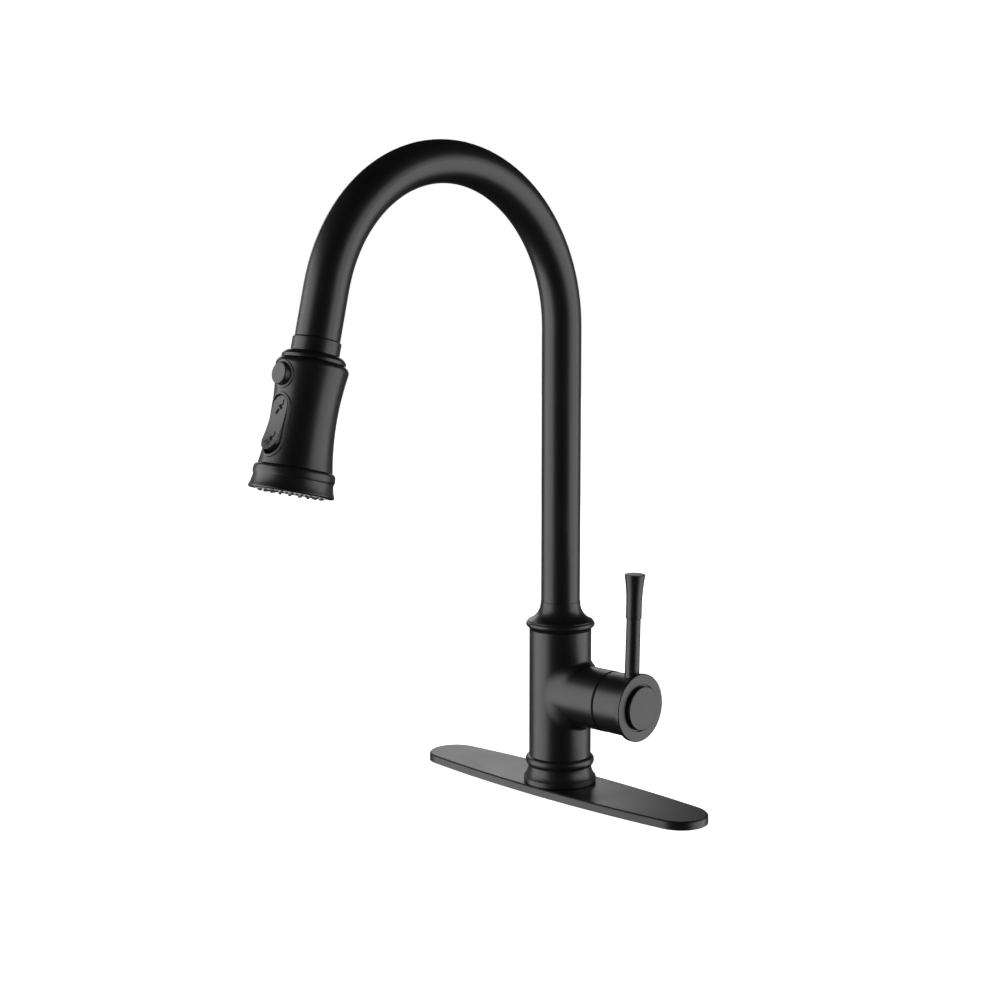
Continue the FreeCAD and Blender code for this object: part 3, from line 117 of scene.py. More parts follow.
# The backdrop stands behind the faucet; the room on the camera's side is dark
world = bpy.data.worlds.new("studioWorld")
bpy.context.scene.world = world
tree = blankTree(world)
path = addNode(tree, "ShaderNodeLightPath")
direction = addNode(tree, "ShaderNodeTexCoord")
away = Vector((-cameraView["place"][0], -cameraView["place"][1], 0)).normalized()
facing = addNode(tree, "ShaderNodeVectorMath", operation="DOT_PRODUCT")
tree.links.new(direction.outputs["Generated"], facing.inputs[0])
facing.inputs[1].default_value = away
spread = addNode(tree, "ShaderNodeMapRange", interpolation_type="SMOOTHSTEP")
tree.links.new(facing.outputs["Value"], spread.inputs["Value"])
spread.inputs["From Min"].default_value, spread.inputs["From Max"].default_value = studio["backdropEdge"]
spread.inputs["To Min"].default_value = 0
spread.inputs["To Max"].default_value = studio["backdropGlow"]
parts = addNode(tree, "ShaderNodeSeparateXYZ")
tree.links.new(direction.outputs["Generated"], parts.inputs[0])
lowBand = addNode(tree, "ShaderNodeMapRange", interpolation_type="SMOOTHSTEP")
tree.links.new(mathNode(tree, "ABSOLUTE", parts.outputs["Z"]), lowBand.inputs["Value"])
lowBand.inputs["From Min"].default_value, lowBand.inputs["From Max"].default_value = studio["backdropBand"]
shine = mathNode(tree, "MULTIPLY_ADD", spread.outputs["Result"], lowBand.outputs["Result"],
                 studio["roomGlow"])
seen = mathNode(tree, "MAXIMUM", path.outputs["Is Glossy Ray"], path.outputs["Is Transmission Ray"])
glow = mathNode(tree, "MULTIPLY_ADD", seen, shine,
                mathNode(tree, "MULTIPLY", path.outputs["Is Diffuse Ray"], studio["diffuseGlow"]))
strength = mathNode(tree, "MAXIMUM", path.outputs["Is Camera Ray"], glow)
background = addNode(tree, "ShaderNodeBackground", Color=(1, 1, 1, 1))
tree.links.new(strength, background.inputs["Strength"])
worldOut = addNode(tree, "ShaderNodeOutputWorld")
tree.links.new(background.outputs[0], worldOut.inputs["Surface"])

# Pale floor: white to the camera, and still darker where the faucet keeps the light off
floorMesh = bpy.data.meshes.new("studioFloor")
half, level = studio["floorSize"] / 2, -studio["floorDrop"]
floorCorners = [(-half, -half, level), (half, -half, level), (half, half, level), (-half, half, level)]
floorMesh.from_pydata(floorCorners, [], [(0, 1, 2, 3)])
floor = bpy.data.objects.new("studioFloor", floorMesh)
bpy.context.scene.collection.objects.link(floor)
paleFloor = bpy.data.materials.new("paleFloor")
tree = blankTree(paleFloor)
path = addNode(tree, "ShaderNodeLightPath")
white = addNode(tree, "ShaderNodeEmission", Color=(1, 1, 1, 1))
tree.links.new(mathNode(tree, "MULTIPLY", path.outputs["Is Camera Ray"], studio["floorWhite"]),
               white.inputs["Strength"])
matt = addNode(tree, "ShaderNodeBsdfDiffuse", Color=studio["floorColour"])
both = addNode(tree, "ShaderNodeAddShader")
tree.links.new(white.outputs[0], both.inputs[0])
tree.links.new(matt.outputs[0], both.inputs[1])
# Reflections and lamp light pass the floor, so the tall softboxes show whole in the gloss.
# From below the floor is clear too, so the underside can be looked at.
clear = addNode(tree, "ShaderNodeBsdfTransparent")
fromBelow = addNode(tree, "ShaderNodeNewGeometry")
seeThrough = addNode(tree, "ShaderNodeMixShader")
passing = mathNode(tree, "MAXIMUM", path.outputs["Is Glossy Ray"], path.outputs["Is Shadow Ray"])
tree.links.new(mathNode(tree, "MAXIMUM", passing, fromBelow.outputs["Backfacing"]), seeThrough.inputs["Fac"])
tree.links.new(both.outputs[0], seeThrough.inputs[1])
tree.links.new(clear.outputs[0], seeThrough.inputs[2])
floorOut = addNode(tree, "ShaderNodeOutputMaterial")
tree.links.new(seeThrough.outputs[0], floorOut.inputs["Surface"])
floorMesh.materials.append(paleFloor)


# turn is in degrees from the camera's own direction, positive to the picture's right
softboxes = {
    "rightSoftbox": {"turn": 82, "distance": 1.5, "height": 0.05, "size": (2.0, 1.8), "watts": 27,
                     "aim": 0.1},
    "leftSoftbox": {"turn": -79, "distance": 1.5, "height": 0.15, "size": (1.9, 1.9), "watts": 33,
                    "aim": 0.1},
    "backSoftbox": {"turn": -163, "distance": 1.7, "height": 0.68, "size": (1.3, 0.5), "watts": 5.5,
                    "aim": 0.0},
}
aimForward = -0.1   # the lamps point at the middle of the faucet's reach


def addSoftbox(name, sizes):
    lamp = bpy.data.lights.new(name, "AREA")
    lamp.shape = "RECTANGLE"
    lamp.size, lamp.size_y = sizes["size"]
    lamp.energy = sizes["watts"]
    holder = bpy.data.objects.new(name, lamp)
    turn = math.atan2(-away.y, -away.x) + math.radians(sizes["turn"])
    distance = sizes["distance"]
    holder.location = (math.cos(turn) * distance, math.sin(turn) * distance, sizes["height"])
    aim = Vector((0, aimForward, sizes["aim"])) - holder.location
    holder.rotation_euler = aim.to_track_quat("-Z", "Y").to_euler()
    bpy.context.scene.collection.objects.link(holder)


for name, sizes in softboxes.items():
    addSoftbox(name, sizes)
print("stage and light ready")

joints = {joint["name"]: joint for joint in frame["joints"]}
dockPoint = Vector(joints["head_swivel"]["pos_m"])
down = Vector(joints["head_swivel"]["axis"]).normalized()
side = Vector((1, 0, 0))
outward = down.cross(side)
# The spray head's own frame: X to the side, Y outward, Z down its axis from the dock
headFrame = Matrix.Translation(dockPoint) @ Matrix((side, outward, down)).transposed().to_4x4()

# Finishes


def newGroup(name, inputs, outputs):
    group = bpy.data.node_groups.new(name, "ShaderNodeTree")
    for label, kind, value in inputs:
        socket = group.interface.new_socket(name=label, in_out="INPUT", socket_type="NodeSocket" + kind)
        if value is not None:
            socket.default_value = value
    for label, kind in outputs:
        group.interface.new_socket(name=label, in_out="OUTPUT", socket_type="NodeSocket" + kind)
    return group, group.nodes.new("NodeGroupInput"), group.nodes.new("NodeGroupOutput")


# What every finish shares: where its mottle changes the roughness, and its patches of dust
wear = {
    "mottleWindow": (0.3, 0.7),     # mottle values between which the roughness changes
    "speckScale": 420.0,
    "speckEdge": (0.12, 0.04),      # distance from a speck's middle where it ends and where it is full
    "patchPower": 3.0,
    "dustColour": (0.35, 0.34, 0.33, 1),
    "edgeSamples": 4,
}

# Slow mottle, fine grain and specks of dust
surfaceGrain, given, made = newGroup("surfaceGrain", [
    ("Vector", "Vector", None),
    ("Mottle Scale", "Float", 30.0),
    ("Grain Scale", "Float", 1500.0),
    ("Dust", "Float", 0.1),
], [("Mottle", "Float"), ("Grain", "Float"), ("Dust Mask", "Float")])
mottle = addNode(surfaceGrain, "ShaderNodeTexNoise", Detail=3.0, Roughness=0.55)
grain = addNode(surfaceGrain, "ShaderNodeTexNoise", Detail=2.0, Roughness=0.6)
specks = addNode(surfaceGrain, "ShaderNodeTexVoronoi", feature="F1", Scale=wear["speckScale"])
for texture in (mottle, grain, specks):
    surfaceGrain.links.new(given.outputs["Vector"], texture.inputs["Vector"])
surfaceGrain.links.new(given.outputs["Mottle Scale"], mottle.inputs["Scale"])
surfaceGrain.links.new(given.outputs["Grain Scale"], grain.inputs["Scale"])
surfaceGrain.links.new(mottle.outputs[0], made.inputs["Mottle"])
surfaceGrain.links.new(grain.outputs[0], made.inputs["Grain"])
speckMask = addNode(surfaceGrain, "ShaderNodeMapRange")
surfaceGrain.links.new(specks.outputs["Distance"], speckMask.inputs["Value"])
speckMask.inputs["From Min"].default_value, speckMask.inputs["From Max"].default_value = wear["speckEdge"]
patchy = mathNode(surfaceGrain, "MULTIPLY", speckMask.outputs["Result"],
                  mathNode(surfaceGrain, "POWER", mottle.outputs[0], wear["patchPower"]))
surfaceGrain.links.new(mathNode(surfaceGrain, "MULTIPLY", patchy, given.outputs["Dust"]),
                       made.inputs["Dust Mask"])

# Braid of a nylon hose: two crossing helices round the head's axis
braidWeave, given, made = newGroup("braidWeave", [
    ("Vector", "Vector", None),
    ("Strands", "Float", 14.0),
    ("Pitch", "Float", 1500.0),
], [("Height", "Float"), ("Colour Mask", "Float")])
parts = addNode(braidWeave, "ShaderNodeSeparateXYZ")
braidWeave.links.new(given.outputs["Vector"], parts.inputs[0])
angle = mathNode(braidWeave, "ARCTAN2", parts.outputs["Y"], parts.outputs["X"])
around = mathNode(braidWeave, "MULTIPLY", angle, given.outputs["Strands"])
along = mathNode(braidWeave, "MULTIPLY", parts.outputs["Z"], given.outputs["Pitch"])
leftHand = mathNode(braidWeave, "SINE", mathNode(braidWeave, "ADD", around, along))
rightHand = mathNode(braidWeave, "SINE", mathNode(braidWeave, "SUBTRACT", around, along))
over = mathNode(braidWeave, "MULTIPLY", leftHand, rightHand)
braidWeave.links.new(mathNode(braidWeave, "ABSOLUTE", over), made.inputs["Height"])
braidWeave.links.new(mathNode(braidWeave, "GREATER_THAN", over, 0.0), made.inputs["Colour Mask"])


def makeFinish(name, dark, light, roughness, spread=0.05, metallic=0.0, bump=0.2, depth=0.00002,
               mottleScale=30.0, grainScale=1500.0, dust=0.1, edge=0.00025, specular=0.5, weave=None):
    finish = bpy.data.materials.new(name)
    tree = blankTree(finish)
    place = addNode(tree, "ShaderNodeTexCoord")
    surface = addNode(tree, "ShaderNodeGroup", node_tree=surfaceGrain)
    tree.links.new(place.outputs["Object"], surface.inputs["Vector"])
    surface.inputs["Mottle Scale"].default_value = mottleScale
    surface.inputs["Grain Scale"].default_value = grainScale
    surface.inputs["Dust"].default_value = dust
    tint = addNode(tree, "ShaderNodeMix", data_type="RGBA")
    tint.inputs["A"].default_value = (*dark, 1)
    tint.inputs["B"].default_value = (*light, 1)
    share, height = surface.outputs["Mottle"], surface.outputs["Grain"]
    if weave:
        # weave is a frame whose Z runs down the braided hose
        local = addNode(tree, "ShaderNodeMapping", vector_type="TEXTURE")
        local.inputs["Location"].default_value = weave.translation
        local.inputs["Rotation"].default_value = weave.to_euler()
        tree.links.new(place.outputs["Object"], local.inputs["Vector"])
        braid = addNode(tree, "ShaderNodeGroup", node_tree=braidWeave)
        tree.links.new(local.outputs[0], braid.inputs["Vector"])
        share, height = braid.outputs["Colour Mask"], braid.outputs["Height"]
    tree.links.new(share, tint.inputs["Factor"])
    dusty = addNode(tree, "ShaderNodeMix", data_type="RGBA")
    dusty.inputs["B"].default_value = wear["dustColour"]
    tree.links.new(surface.outputs["Dust Mask"], dusty.inputs["Factor"])
    tree.links.new(tint.outputs["Result"], dusty.inputs["A"])
    rough = addNode(tree, "ShaderNodeMapRange")
    tree.links.new(surface.outputs["Mottle"], rough.inputs["Value"])
    rough.inputs["From Min"].default_value, rough.inputs["From Max"].default_value = wear["mottleWindow"]
    rough.inputs["To Min"].default_value = roughness - spread
    rough.inputs["To Max"].default_value = roughness + spread
    rounded = addNode(tree, "ShaderNodeBevel", samples=wear["edgeSamples"], Radius=edge)
    relief = addNode(tree, "ShaderNodeBump", Strength=bump, Distance=depth)
    tree.links.new(height, relief.inputs["Height"])
    tree.links.new(rounded.outputs[0], relief.inputs["Normal"])
    shader = addNode(tree, "ShaderNodeBsdfPrincipled", Metallic=metallic)
    shader.inputs["Specular IOR Level"].default_value = specular
    tree.links.new(dusty.outputs["Result"], shader.inputs["Base Color"])
    tree.links.new(rough.outputs["Result"], shader.inputs["Roughness"])
    tree.links.new(relief.outputs["Normal"], shader.inputs["Normal"])
    out = addNode(tree, "ShaderNodeOutputMaterial")
    tree.links.new(shader.outputs[0], out.inputs["Surface"])
    return finish


blackCoat = {"dark": (0.0022, 0.0022, 0.0024), "light": (0.0042, 0.0042, 0.0044), "roughness": 0.37,
             "spread": 0.02, "bump": 0.12, "grainScale": 1300.0, "dust": 0.05}

# dark and light are the two colours that the mottle mixes
finishes = {
    "matte_black_metal": makeFinish("satinBlackCoat", **blackCoat),
    "matte_black_plastic": makeFinish("satinBlackPlastic", (0.006, 0.006, 0.0063), (0.009, 0.009, 0.0093),
                                      0.4, bump=0.25, grainScale=2600.0, dust=0.05),
    "light_grey_plate": makeFinish("paleFacePlate", (0.76, 0.76, 0.76), (0.84, 0.84, 0.84), 0.28,
                                   bump=0.05, grainScale=900.0, dust=0.05),
    "black_silicone": makeFinish("blackSilicone", (0.018, 0.018, 0.019), (0.03, 0.03, 0.03), 0.6,
                                 bump=0.3, grainScale=3000.0, dust=0.3),
    "seal_rubber": makeFinish("sealRubber", (0.014, 0.014, 0.014), (0.028, 0.028, 0.028), 0.66,
                              bump=0.3, grainScale=2200.0, dust=0.5),
    "brass": makeFinish("turnedBrass", (0.62, 0.43, 0.17), (0.78, 0.58, 0.28), 0.27, metallic=1.0,
                        bump=0.15, mottleScale=60.0, grainScale=900.0),
    "steel": makeFinish("brightSteel", (0.5, 0.5, 0.51), (0.64, 0.64, 0.65), 0.3, metallic=1.0,
                        bump=0.15, mottleScale=80.0, grainScale=1800.0),
    "magnet_metal": makeFinish("nickelMagnet", (0.55, 0.54, 0.52), (0.66, 0.65, 0.63), 0.18, metallic=1.0,
                               bump=0.05, mottleScale=50.0),
    "inner_plastic": makeFinish("mouldedAcetal", (0.68, 0.68, 0.65), (0.78, 0.78, 0.75), 0.45,
                                bump=0.2, grainScale=1600.0),
    "aerator_plastic": makeFinish("aeratorGrey", (0.24, 0.24, 0.25), (0.33, 0.33, 0.34), 0.42,
                                  bump=0.2, grainScale=2200.0),
    "disc_ceramic": makeFinish("polishedCeramic", (0.84, 0.82, 0.78), (0.92, 0.9, 0.87), 0.12,
                               bump=0.03, grainScale=700.0),
    "hose_nylon": makeFinish("nylonHose", (0.014, 0.014, 0.015), (0.075, 0.075, 0.078), 0.5,
                             bump=0.8, depth=0.0003, weave=headFrame),
}
# The blend has no rounded rim: its rim lies flush in the column and would show as a line
blendCoat = makeFinish("satinBlackBlend", **blackCoat, edge=0.0)
markInk = makeFinish("markInk", (0.003, 0.003, 0.003), (0.006, 0.006, 0.006), 0.8, bump=0.3,
                     grainScale=2600.0, dust=0.0, specular=0.08)
for part in record["subparts"]:
    piece = nodes[part["node"]]
    piece.data.materials.clear()
    piece.data.materials.append(finishes[part["material_slot"]])
print("finishes ready:", len(finishes))

# Pieces that the plain solids don't show


def newPiece(name, mesh, slotName, body):
    mesh.materials.clear()
    mesh.materials.append(finishes[slotName])
    piece = bpy.data.objects.new(name, mesh)
    bpy.context.scene.collection.objects.link(piece)
    if body:
        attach(piece, body)
    return piece


sharpFrom = 35  # degrees; a turned shape's corners above this stay crisp


# A closed shape turned about Z from (radius, height) corners; corners on the axis close it
def turnedMesh(name, profile, segments):
    points, rows = [], []
    for radius, height in profile:
        if radius == 0:
            rows.append([len(points)] * segments)
            points.append((0, 0, height))
            continue
        rows.append(list(range(len(points), len(points) + segments)))
        for step in range(segments):
            turn = 2 * math.pi * step / segments
            points.append((radius * math.cos(turn), radius * math.sin(turn), height))
    faces = []
    for first, second in zip(rows, rows[1:]):
        for step in range(segments):
            following = (step + 1) % segments
            corners = [first[step], first[following], second[following], second[step]]
            faces.append([corner for index, corner in enumerate(corners) if corner not in corners[:index]])
    mesh = bpy.data.meshes.new(name)
    mesh.from_pydata(points, [], faces)
    mesh.polygons.foreach_set("use_smooth", [True] * len(faces))
    mesh.set_sharp_from_angle(angle=math.radians(sharpFrom))
    return mesh


# Geometry Nodes: one tree, its named inputs and the modifier that carries them
def newGeometryTree(name, inputs):
    tree = bpy.data.node_groups.new(name, "GeometryNodeTree")
    tree.interface.new_socket(name="Geometry", in_out="INPUT", socket_type="NodeSocketGeometry")
    tree.interface.new_socket(name="Geometry", in_out="OUTPUT", socket_type="NodeSocketGeometry")
    for label, kind in inputs:
        tree.interface.new_socket(name=label, in_out="INPUT", socket_type="NodeSocket" + kind)
    return tree, tree.nodes.new("NodeGroupInput"), tree.nodes.new("NodeGroupOutput")


def joinNodes(tree, *pairs):
    for source, target in pairs:
        tree.links.new(source, target)


def bakedMesh(tree, values, finish):
    carrier = bpy.data.objects.new("carrier", bpy.data.meshes.new("carrier"))
    bpy.context.scene.collection.objects.link(carrier)
    modifier = carrier.modifiers.new("shape", "NODES")
    modifier.node_group = tree
    for item in tree.interface.items_tree:
        if item.in_out == "INPUT" and item.name in values:
            modifier[item.identifier] = values[item.name]
        elif item.in_out == "INPUT" and item.name == "Finish":
            modifier[item.identifier] = finish
    shaped = carrier.evaluated_get(bpy.context.evaluated_depsgraph_get())
    mesh = bpy.data.meshes.new_from_object(shaped)
    bpy.data.objects.remove(carrier)
    return mesh


# A coil: the button's spring and the threads under the faucet
coilSteps = {"perTurn": 40, "roundWire": 10}
coilTree, given, made = newGeometryTree("coil", [
    ("Radius", "Float"), ("Height", "Float"), ("Turns", "Float"), ("Wire", "Float"), ("Finish", "Material")])
spiral = coilTree.nodes.new("GeometryNodeCurveSpiral")
spiral.inputs["Resolution"].default_value = coilSteps["perTurn"]
wireRound = coilTree.nodes.new("GeometryNodeCurvePrimitiveCircle")
wireRound.inputs["Resolution"].default_value = coilSteps["roundWire"]
sweep = coilTree.nodes.new("GeometryNodeCurveToMesh")
sweep.inputs["Fill Caps"].default_value = True
smooth = coilTree.nodes.new("GeometryNodeSetShadeSmooth")
realize = coilTree.nodes.new("GeometryNodeRealizeInstances")
paint = coilTree.nodes.new("GeometryNodeSetMaterial")
joinNodes(
    coilTree,
    (given.outputs["Radius"], spiral.inputs["Start Radius"]),
    (given.outputs["Radius"], spiral.inputs["End Radius"]),
    (given.outputs["Height"], spiral.inputs["Height"]),
    (given.outputs["Turns"], spiral.inputs["Rotations"]),
    (given.outputs["Wire"], wireRound.inputs["Radius"]),
    (spiral.outputs[0], sweep.inputs["Curve"]),
    (wireRound.outputs[0], sweep.inputs["Profile Curve"]),
    (sweep.outputs[0], smooth.inputs["Geometry"]),
    (smooth.outputs[0], realize.inputs["Geometry"]),
    (realize.outputs[0], paint.inputs["Geometry"]),
    (given.outputs["Finish"], paint.inputs["Material"]),
    (paint.outputs[0], made.inputs["Geometry"]),
)

buttonSpring = {"level": 0.0256, "foot": 0.01095, "top": 0.01715, "radius": 0.0034, "wire": 0.00035,
                "turns": 4.8, "travel": 0.0025}
length = buttonSpring["top"] - buttonSpring["foot"]
mesh = bakedMesh(coilTree, {"Radius": buttonSpring["radius"], "Height": length,
                            "Turns": buttonSpring["turns"], "Wire": buttonSpring["wire"]}, finishes["steel"])
towardButton = Matrix.Rotation(math.radians(-90), 4, "X")
springFoot = Vector((0, buttonSpring["foot"], buttonSpring["level"]))
mesh.transform(headFrame @ Matrix.Translation(springFoot) @ towardButton)
spring = newPiece("springCoil", mesh, "steel", "spray_head")
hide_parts("button_spring")
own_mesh(spring)

# Threads in the sockets under the column; turn places each port on the ports' circle, in degrees
portThread = {"radius": 0.00407, "length": 0.009, "pitch": 0.001, "wire": 0.0003, "circle": 0.0119,
              "mouth": 0.0222}
threads = {
    "shankThread": {"radius": 0.01615, "length": 0.0205, "pitch": 0.0015, "wire": 0.0005, "circle": 0.0,
                    "mouth": 0.0006, "turn": 0},
    "hotThread": {**portThread, "turn": 75},
    "coldThread": {**portThread, "turn": -75},
    "mixedThread": {**portThread, "turn": 0},
}
for name, thread in threads.items():
    turn = math.radians(thread["turn"])
    place = (thread["circle"] * math.cos(turn), thread["circle"] * math.sin(turn), thread["mouth"])
    mesh = bakedMesh(coilTree, {"Radius": thread["radius"], "Height": thread["length"],
                                "Turns": thread["length"] / thread["pitch"], "Wire": thread["wire"]},
                     finishes["matte_black_metal"])
    mesh.transform(Matrix.Translation(place))
    newPiece(name, mesh, "matte_black_metal", "column")
print("coils ready")

# Nozzle mat: a soft disc with three rings of nozzles, each with its own outlet
nozzleMat = {
    "inner": 0.00655, "outer": 0.0222, "back": 0.0904, "front": 0.0926,
    "rings": ((0.0193, 20), (0.0149, 15), (0.0106, 10)),
    "foot": 0.00105, "tip": 0.0008, "outlet": 0.0004, "reach": 0.0037, "depth": 0.0012, "round": 0.00018,
    "outletTaper": 0.8, "rooted": 0.0001, "nozzleSides": 16, "discSides": 72, "weld": 0.000001,
    "shoulderOut": 0.2, "roundingIn": 0.3,  # shares of the tip's rounding
}


# From the foot up the outside, over the rounded tip and down into the outlet
def nozzleProfile(sizes):
    tip, soft, reach = sizes["tip"], sizes["round"], sizes["reach"]
    shoulder = (tip + soft * sizes["shoulderOut"], reach - soft)
    rounding = (tip - soft * sizes["roundingIn"], reach - soft * sizes["roundingIn"])
    return [(0, 0), (sizes["foot"], 0), shoulder, rounding, (tip - soft, reach), (sizes["outlet"], reach),
            (sizes["outlet"] * sizes["outletTaper"], reach - sizes["depth"]),
            (0, reach - sizes["depth"])]


ringTree, given, made = newGeometryTree("nozzleRing", [
    ("Ring Radius", "Float"), ("Count", "Int"), ("Nozzle", "Object"), ("Finish", "Material")])
circle = ringTree.nodes.new("GeometryNodeMeshCircle")
blank = ringTree.nodes.new("GeometryNodeObjectInfo")
standing = ringTree.nodes.new("GeometryNodeInstanceOnPoints")
realize = ringTree.nodes.new("GeometryNodeRealizeInstances")
paint = ringTree.nodes.new("GeometryNodeSetMaterial")
joinNodes(
    ringTree,
    (given.outputs["Ring Radius"], circle.inputs["Radius"]),
    (given.outputs["Count"], circle.inputs["Vertices"]),
    (given.outputs["Nozzle"], blank.inputs["Object"]),
    (circle.outputs[0], standing.inputs["Points"]),
    (blank.outputs["Geometry"], standing.inputs["Instance"]),
    (standing.outputs[0], realize.inputs["Geometry"]),
    (realize.outputs[0], paint.inputs["Geometry"]),
    (given.outputs["Finish"], paint.inputs["Material"]),
    (paint.outputs[0], made.inputs["Geometry"]),
)
nozzleBlank = bpy.data.objects.new(
    "nozzleBlank", turnedMesh("nozzleBlank", nozzleProfile(nozzleMat), nozzleMat["nozzleSides"]))
bpy.context.scene.collection.objects.link(nozzleBlank)
shape = bmesh.new()
inner, outer, back, front = (nozzleMat[edge] for edge in ("inner", "outer", "back", "front"))
discProfile = [(inner, back), (outer, back), (outer, front), (inner, front), (inner, back)]
disc = turnedMesh("matDisc", discProfile, nozzleMat["discSides"])
shape.from_mesh(disc)
for ringRadius, count in nozzleMat["rings"]:
    ringMesh = bakedMesh(ringTree, {"Ring Radius": ringRadius, "Count": count, "Nozzle": nozzleBlank},
                         finishes["black_silicone"])
    ringMesh.transform(Matrix.Translation((0, 0, front - nozzleMat["rooted"])))
    shape.from_mesh(ringMesh)
bpy.data.objects.remove(nozzleBlank)
bmesh.ops.remove_doubles(shape, verts=shape.verts, dist=nozzleMat["weld"])
bmesh.ops.recalc_face_normals(shape, faces=shape.faces)
mesh = bpy.data.meshes.new("nozzleMat")
shape.to_mesh(mesh)
shape.free()
mesh.transform(headFrame)
mat = newPiece("nozzleMat", mesh, "black_silicone", "spray_head")
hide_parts("nozzle_mat")

# Fine screen across the aerator's outlet
screen = {"radius": 0.0043, "pitch": 0.00085, "wire": 0.00011, "level": 0.0946, "wireSides": 6}
screenTree, given, made = newGeometryTree("wireScreen", [
    ("Radius", "Float"), ("Cells", "Int"), ("Wire", "Float"), ("Finish", "Material")])
grid = screenTree.nodes.new("GeometryNodeMeshGrid")
double = screenTree.nodes.new("ShaderNodeMath")
double.operation = "MULTIPLY"
double.inputs[1].default_value = 2.0
where = screenTree.nodes.new("GeometryNodeInputPosition")
reach = screenTree.nodes.new("ShaderNodeVectorMath")
reach.operation = "LENGTH"
beyond = screenTree.nodes.new("FunctionNodeCompare")
beyond.operation = "GREATER_THAN"
trim = screenTree.nodes.new("GeometryNodeDeleteGeometry")
wires = screenTree.nodes.new("GeometryNodeMeshToCurve")
wireRound = screenTree.nodes.new("GeometryNodeCurvePrimitiveCircle")
wireRound.inputs["Resolution"].default_value = screen["wireSides"]
sweep = screenTree.nodes.new("GeometryNodeCurveToMesh")
sweep.inputs["Fill Caps"].default_value = True
realize = screenTree.nodes.new("GeometryNodeRealizeInstances")
paint = screenTree.nodes.new("GeometryNodeSetMaterial")
joinNodes(
    screenTree,
    (given.outputs["Radius"], double.inputs[0]),
    (double.outputs[0], grid.inputs["Size X"]),
    (double.outputs[0], grid.inputs["Size Y"]),
    (given.outputs["Cells"], grid.inputs["Vertices X"]),
    (given.outputs["Cells"], grid.inputs["Vertices Y"]),
    (where.outputs[0], reach.inputs[0]),
    (reach.outputs["Value"], beyond.inputs["A"]),
    (given.outputs["Radius"], beyond.inputs["B"]),
    (grid.outputs["Mesh"], trim.inputs["Geometry"]),
    (beyond.outputs[0], trim.inputs["Selection"]),
    (trim.outputs[0], wires.inputs["Mesh"]),
    (given.outputs["Wire"], wireRound.inputs["Radius"]),
    (wires.outputs[0], sweep.inputs["Curve"]),
    (wireRound.outputs[0], sweep.inputs["Profile Curve"]),
    (sweep.outputs[0], realize.inputs["Geometry"]),
    (realize.outputs[0], paint.inputs["Geometry"]),
    (given.outputs["Finish"], paint.inputs["Material"]),
    (paint.outputs[0], made.inputs["Geometry"]),
)
cells = round(screen["radius"] * 2 / screen["pitch"])
mesh = bakedMesh(screenTree, {"Radius": screen["radius"], "Cells": cells, "Wire": screen["wire"]},
                 finishes["aerator_plastic"])
mesh.transform(headFrame @ Matrix.Translation((0, 0, screen["level"])))
newPiece("aeratorScreen", mesh, "aerator_plastic", "spray_head")
print("spray face ready")

# Hose from the spout to the spray head; its rings lie close in the length that would stretch
hose = {"radius": 0.00575, "top": -0.0323, "held": -0.017, "end": -0.0045, "rings": 90, "segments": 48}
profile = [(0, hose["top"])]
for step in range(hose["rings"] + 1):
    share = step / hose["rings"]
    profile.append((hose["radius"], hose["top"] + (hose["held"] - hose["top"]) * share))
profile += [(hose["radius"], hose["end"]), (0, hose["end"])]
mesh = turnedMesh("pulloutHose", profile, hose["segments"])
mesh.transform(headFrame)
pulloutHose = newPiece("pulloutHose", mesh, "hose_nylon", None)
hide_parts("hose_end")
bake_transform(pulloutHose)

# Soft blend where the cartridge boss leaves the column, widest where the two run side by side
bossBlend = {"columnRadius": 0.0224, "bossRadius": 0.0216, "height": 0.0727, "radius": 0.0048,
             "sideRadius": 0.03, "sharpness": 4, "steps": 160, "rounds": 12, "sink": 0.0005, "lift": 0.00001}


def makeBossBlend(sizes):
    points, normals = [], []
    for step in range(sizes["steps"]):
        turn = 2 * math.pi * step / sizes["steps"]
        wide = abs(math.cos(turn)) ** sizes["sharpness"]    # 1 where boss and column run side by side
        ball = sizes["radius"] + (sizes["sideRadius"] - sizes["radius"]) * wide
        bossReach = sizes["bossRadius"] + ball
        across, rise = bossReach * math.cos(turn), bossReach * math.sin(turn)
        ahead = math.sqrt((sizes["columnRadius"] + ball) ** 2 - across ** 2)
        centre = Vector((ahead, across, sizes["height"] + rise))
        toBoss = Vector((0, -math.cos(turn), -math.sin(turn)))
        toColumn = Vector((-ahead, -across, 0)).normalized()
        skin = []
        for stop in range(sizes["rounds"] + 1):
            way = toBoss.slerp(toColumn, stop / sizes["rounds"])
            skin.append(centre + way * (ball - sizes["lift"]))
            normals.append(way)
        # The rims dip into column and boss. Where those meet steeply, the flat between the rims covers
        # the arc. Its normals swing from one rim to the other, so it is shaded as a soft curve
        flat = [skin[-1] + toColumn * sizes["sink"], skin[0] + toBoss * sizes["sink"]]
        normals += [-toColumn, -toBoss]
        points += skin + flat
    row = len(points) // sizes["steps"]
    faces = []
    for step in range(sizes["steps"]):
        base, following = step * row, (step + 1) % sizes["steps"] * row
        for stop in range(row):
            after = (stop + 1) % row
            faces.append((base + stop, following + stop, following + after, base + after))
    mesh = bpy.data.meshes.new("bossBlend")
    mesh.from_pydata([tuple(point) for point in points], [], faces)
    mesh.polygons.foreach_set("use_smooth", [True] * len(faces))
    mesh.normals_split_custom_set_from_vertices([tuple(normal) for normal in normals])
    return mesh


blend = newPiece("bossBlend", makeBossBlend(bossBlend), "matte_black_metal", "column")
blend.data.materials[0] = blendCoat
print("hose and boss blend ready")

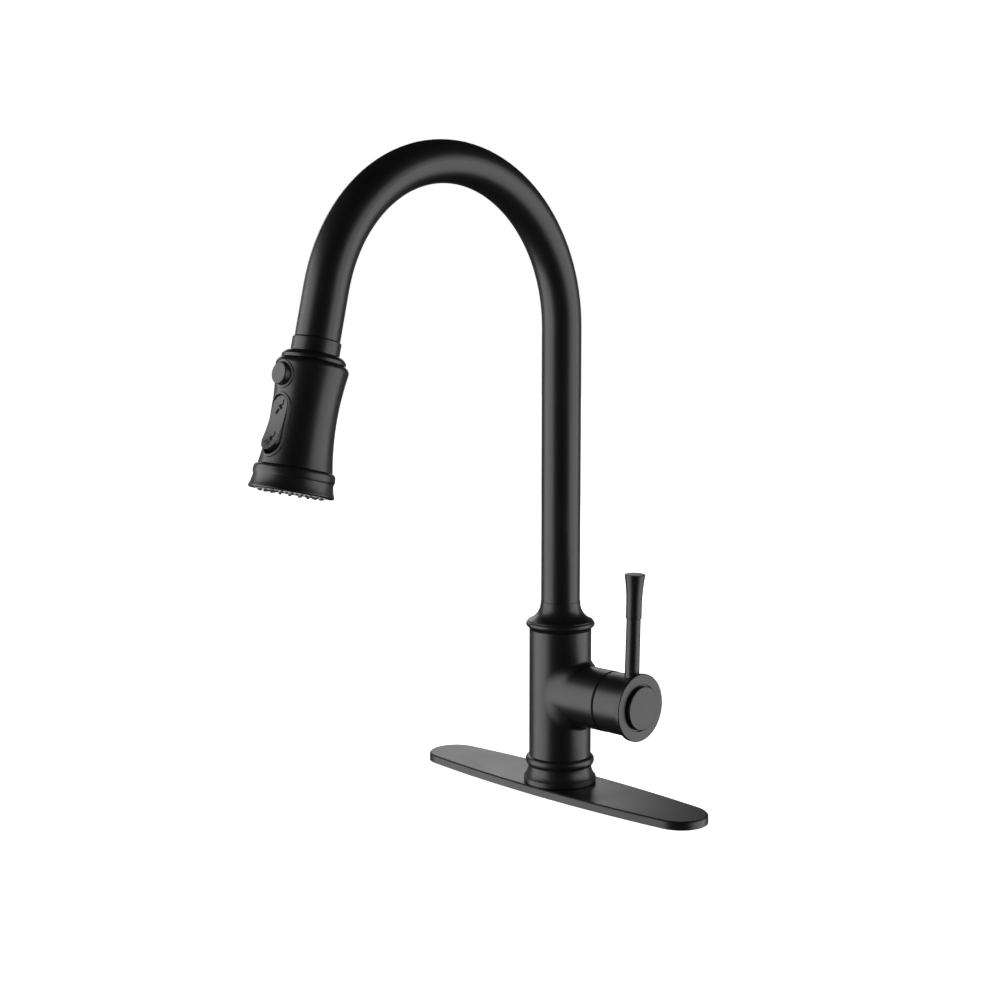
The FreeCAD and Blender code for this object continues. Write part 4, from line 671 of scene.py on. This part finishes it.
# Spray marks on the rocker: a single stream above, a shower below
rockerFace = {"level": 0.0562, "pivot": 0.0165, "dish": 0.085, "middle": 0.020583, "tilt": -9.5}
rockerTurn = (headFrame @ Matrix.Translation((0, rockerFace["pivot"], rockerFace["level"]))
              @ Matrix.Rotation(math.radians(rockerFace["tilt"]), 4, "X")
              @ Matrix.Translation((0, -rockerFace["pivot"], -rockerFace["level"])))


def onRocker(across, level, lift):
    fall = level - rockerFace["level"]
    dished = rockerFace["middle"] + rockerFace["dish"] - math.sqrt(rockerFace["dish"] ** 2 - fall ** 2)
    return rockerTurn @ Vector((across, dished + lift, level))


millimetre = 0.001
# Each stroke: its width and its points, across and down the rocker, in millimetres
sprayMarks = {
    "raised": 0.00006, "sunk": 0.0001, "level": {"streamMark": 0.0462, "showerMark": 0.0662},
    "sprayer": [(1.1, [(2.7, -4.6), (3.1, -3.2), (2.7, -1.8), (1.5, -0.5)]),
                (1.8, [(2.5, 1.1), (-0.3, -1.3)])],
    "streamMark": [(2.1, [(-0.1, 1.2), (-1.9, 4.2)])],
    "showerMark": [(0.9, [(1.1, 1.8), (0.7, 4.4)]), (0.9, [(-0.1, 1.2), (-1.5, 4.2)]),
                   (0.9, [(-1.2, 0.3), (-3.9, 2.6)])],
}


def makeMark(name, sizes):
    points, faces = [], []
    for width, stroke in sizes["sprayer"] + sizes[name]:
        path = [Vector(spot) * millimetre for spot in stroke]
        first = len(points)
        for index, spot in enumerate(path):
            ahead = path[min(index + 1, len(path) - 1)] - path[max(index - 1, 0)]
            across = Vector((-ahead.y, ahead.x)).normalized() * width * millimetre / 2
            for lift in (-sizes["sunk"], sizes["raised"]):
                for way in (across, -across):
                    edge = spot + way
                    points.append(tuple(onRocker(edge.x, sizes["level"][name] + edge.y, lift)))
        # Each spot of the path has four corners: two below the face and two above it
        for index in range(len(path) - 1):
            low = first + index * 4
            faces += [(low + 2, low + 3, low + 7, low + 6), (low, low + 4, low + 5, low + 1),
                      (low, low + 2, low + 6, low + 4), (low + 1, low + 5, low + 7, low + 3)]
        last = first + (len(path) - 1) * 4
        faces += [(first, first + 1, first + 3, first + 2), (last, last + 2, last + 3, last + 1)]
    shape = bmesh.new()
    mesh = bpy.data.meshes.new(name)
    mesh.from_pydata(points, [], faces)
    shape.from_mesh(mesh)
    bmesh.ops.recalc_face_normals(shape, faces=shape.faces)
    shape.to_mesh(mesh)
    shape.free()
    return mesh


for name in sprayMarks["level"]:
    mark = newPiece(name, makeMark(name, sprayMarks), "matte_black_plastic", "spray_rocker")
    mark.data.materials[0] = markInk
print("rocker marks ready")
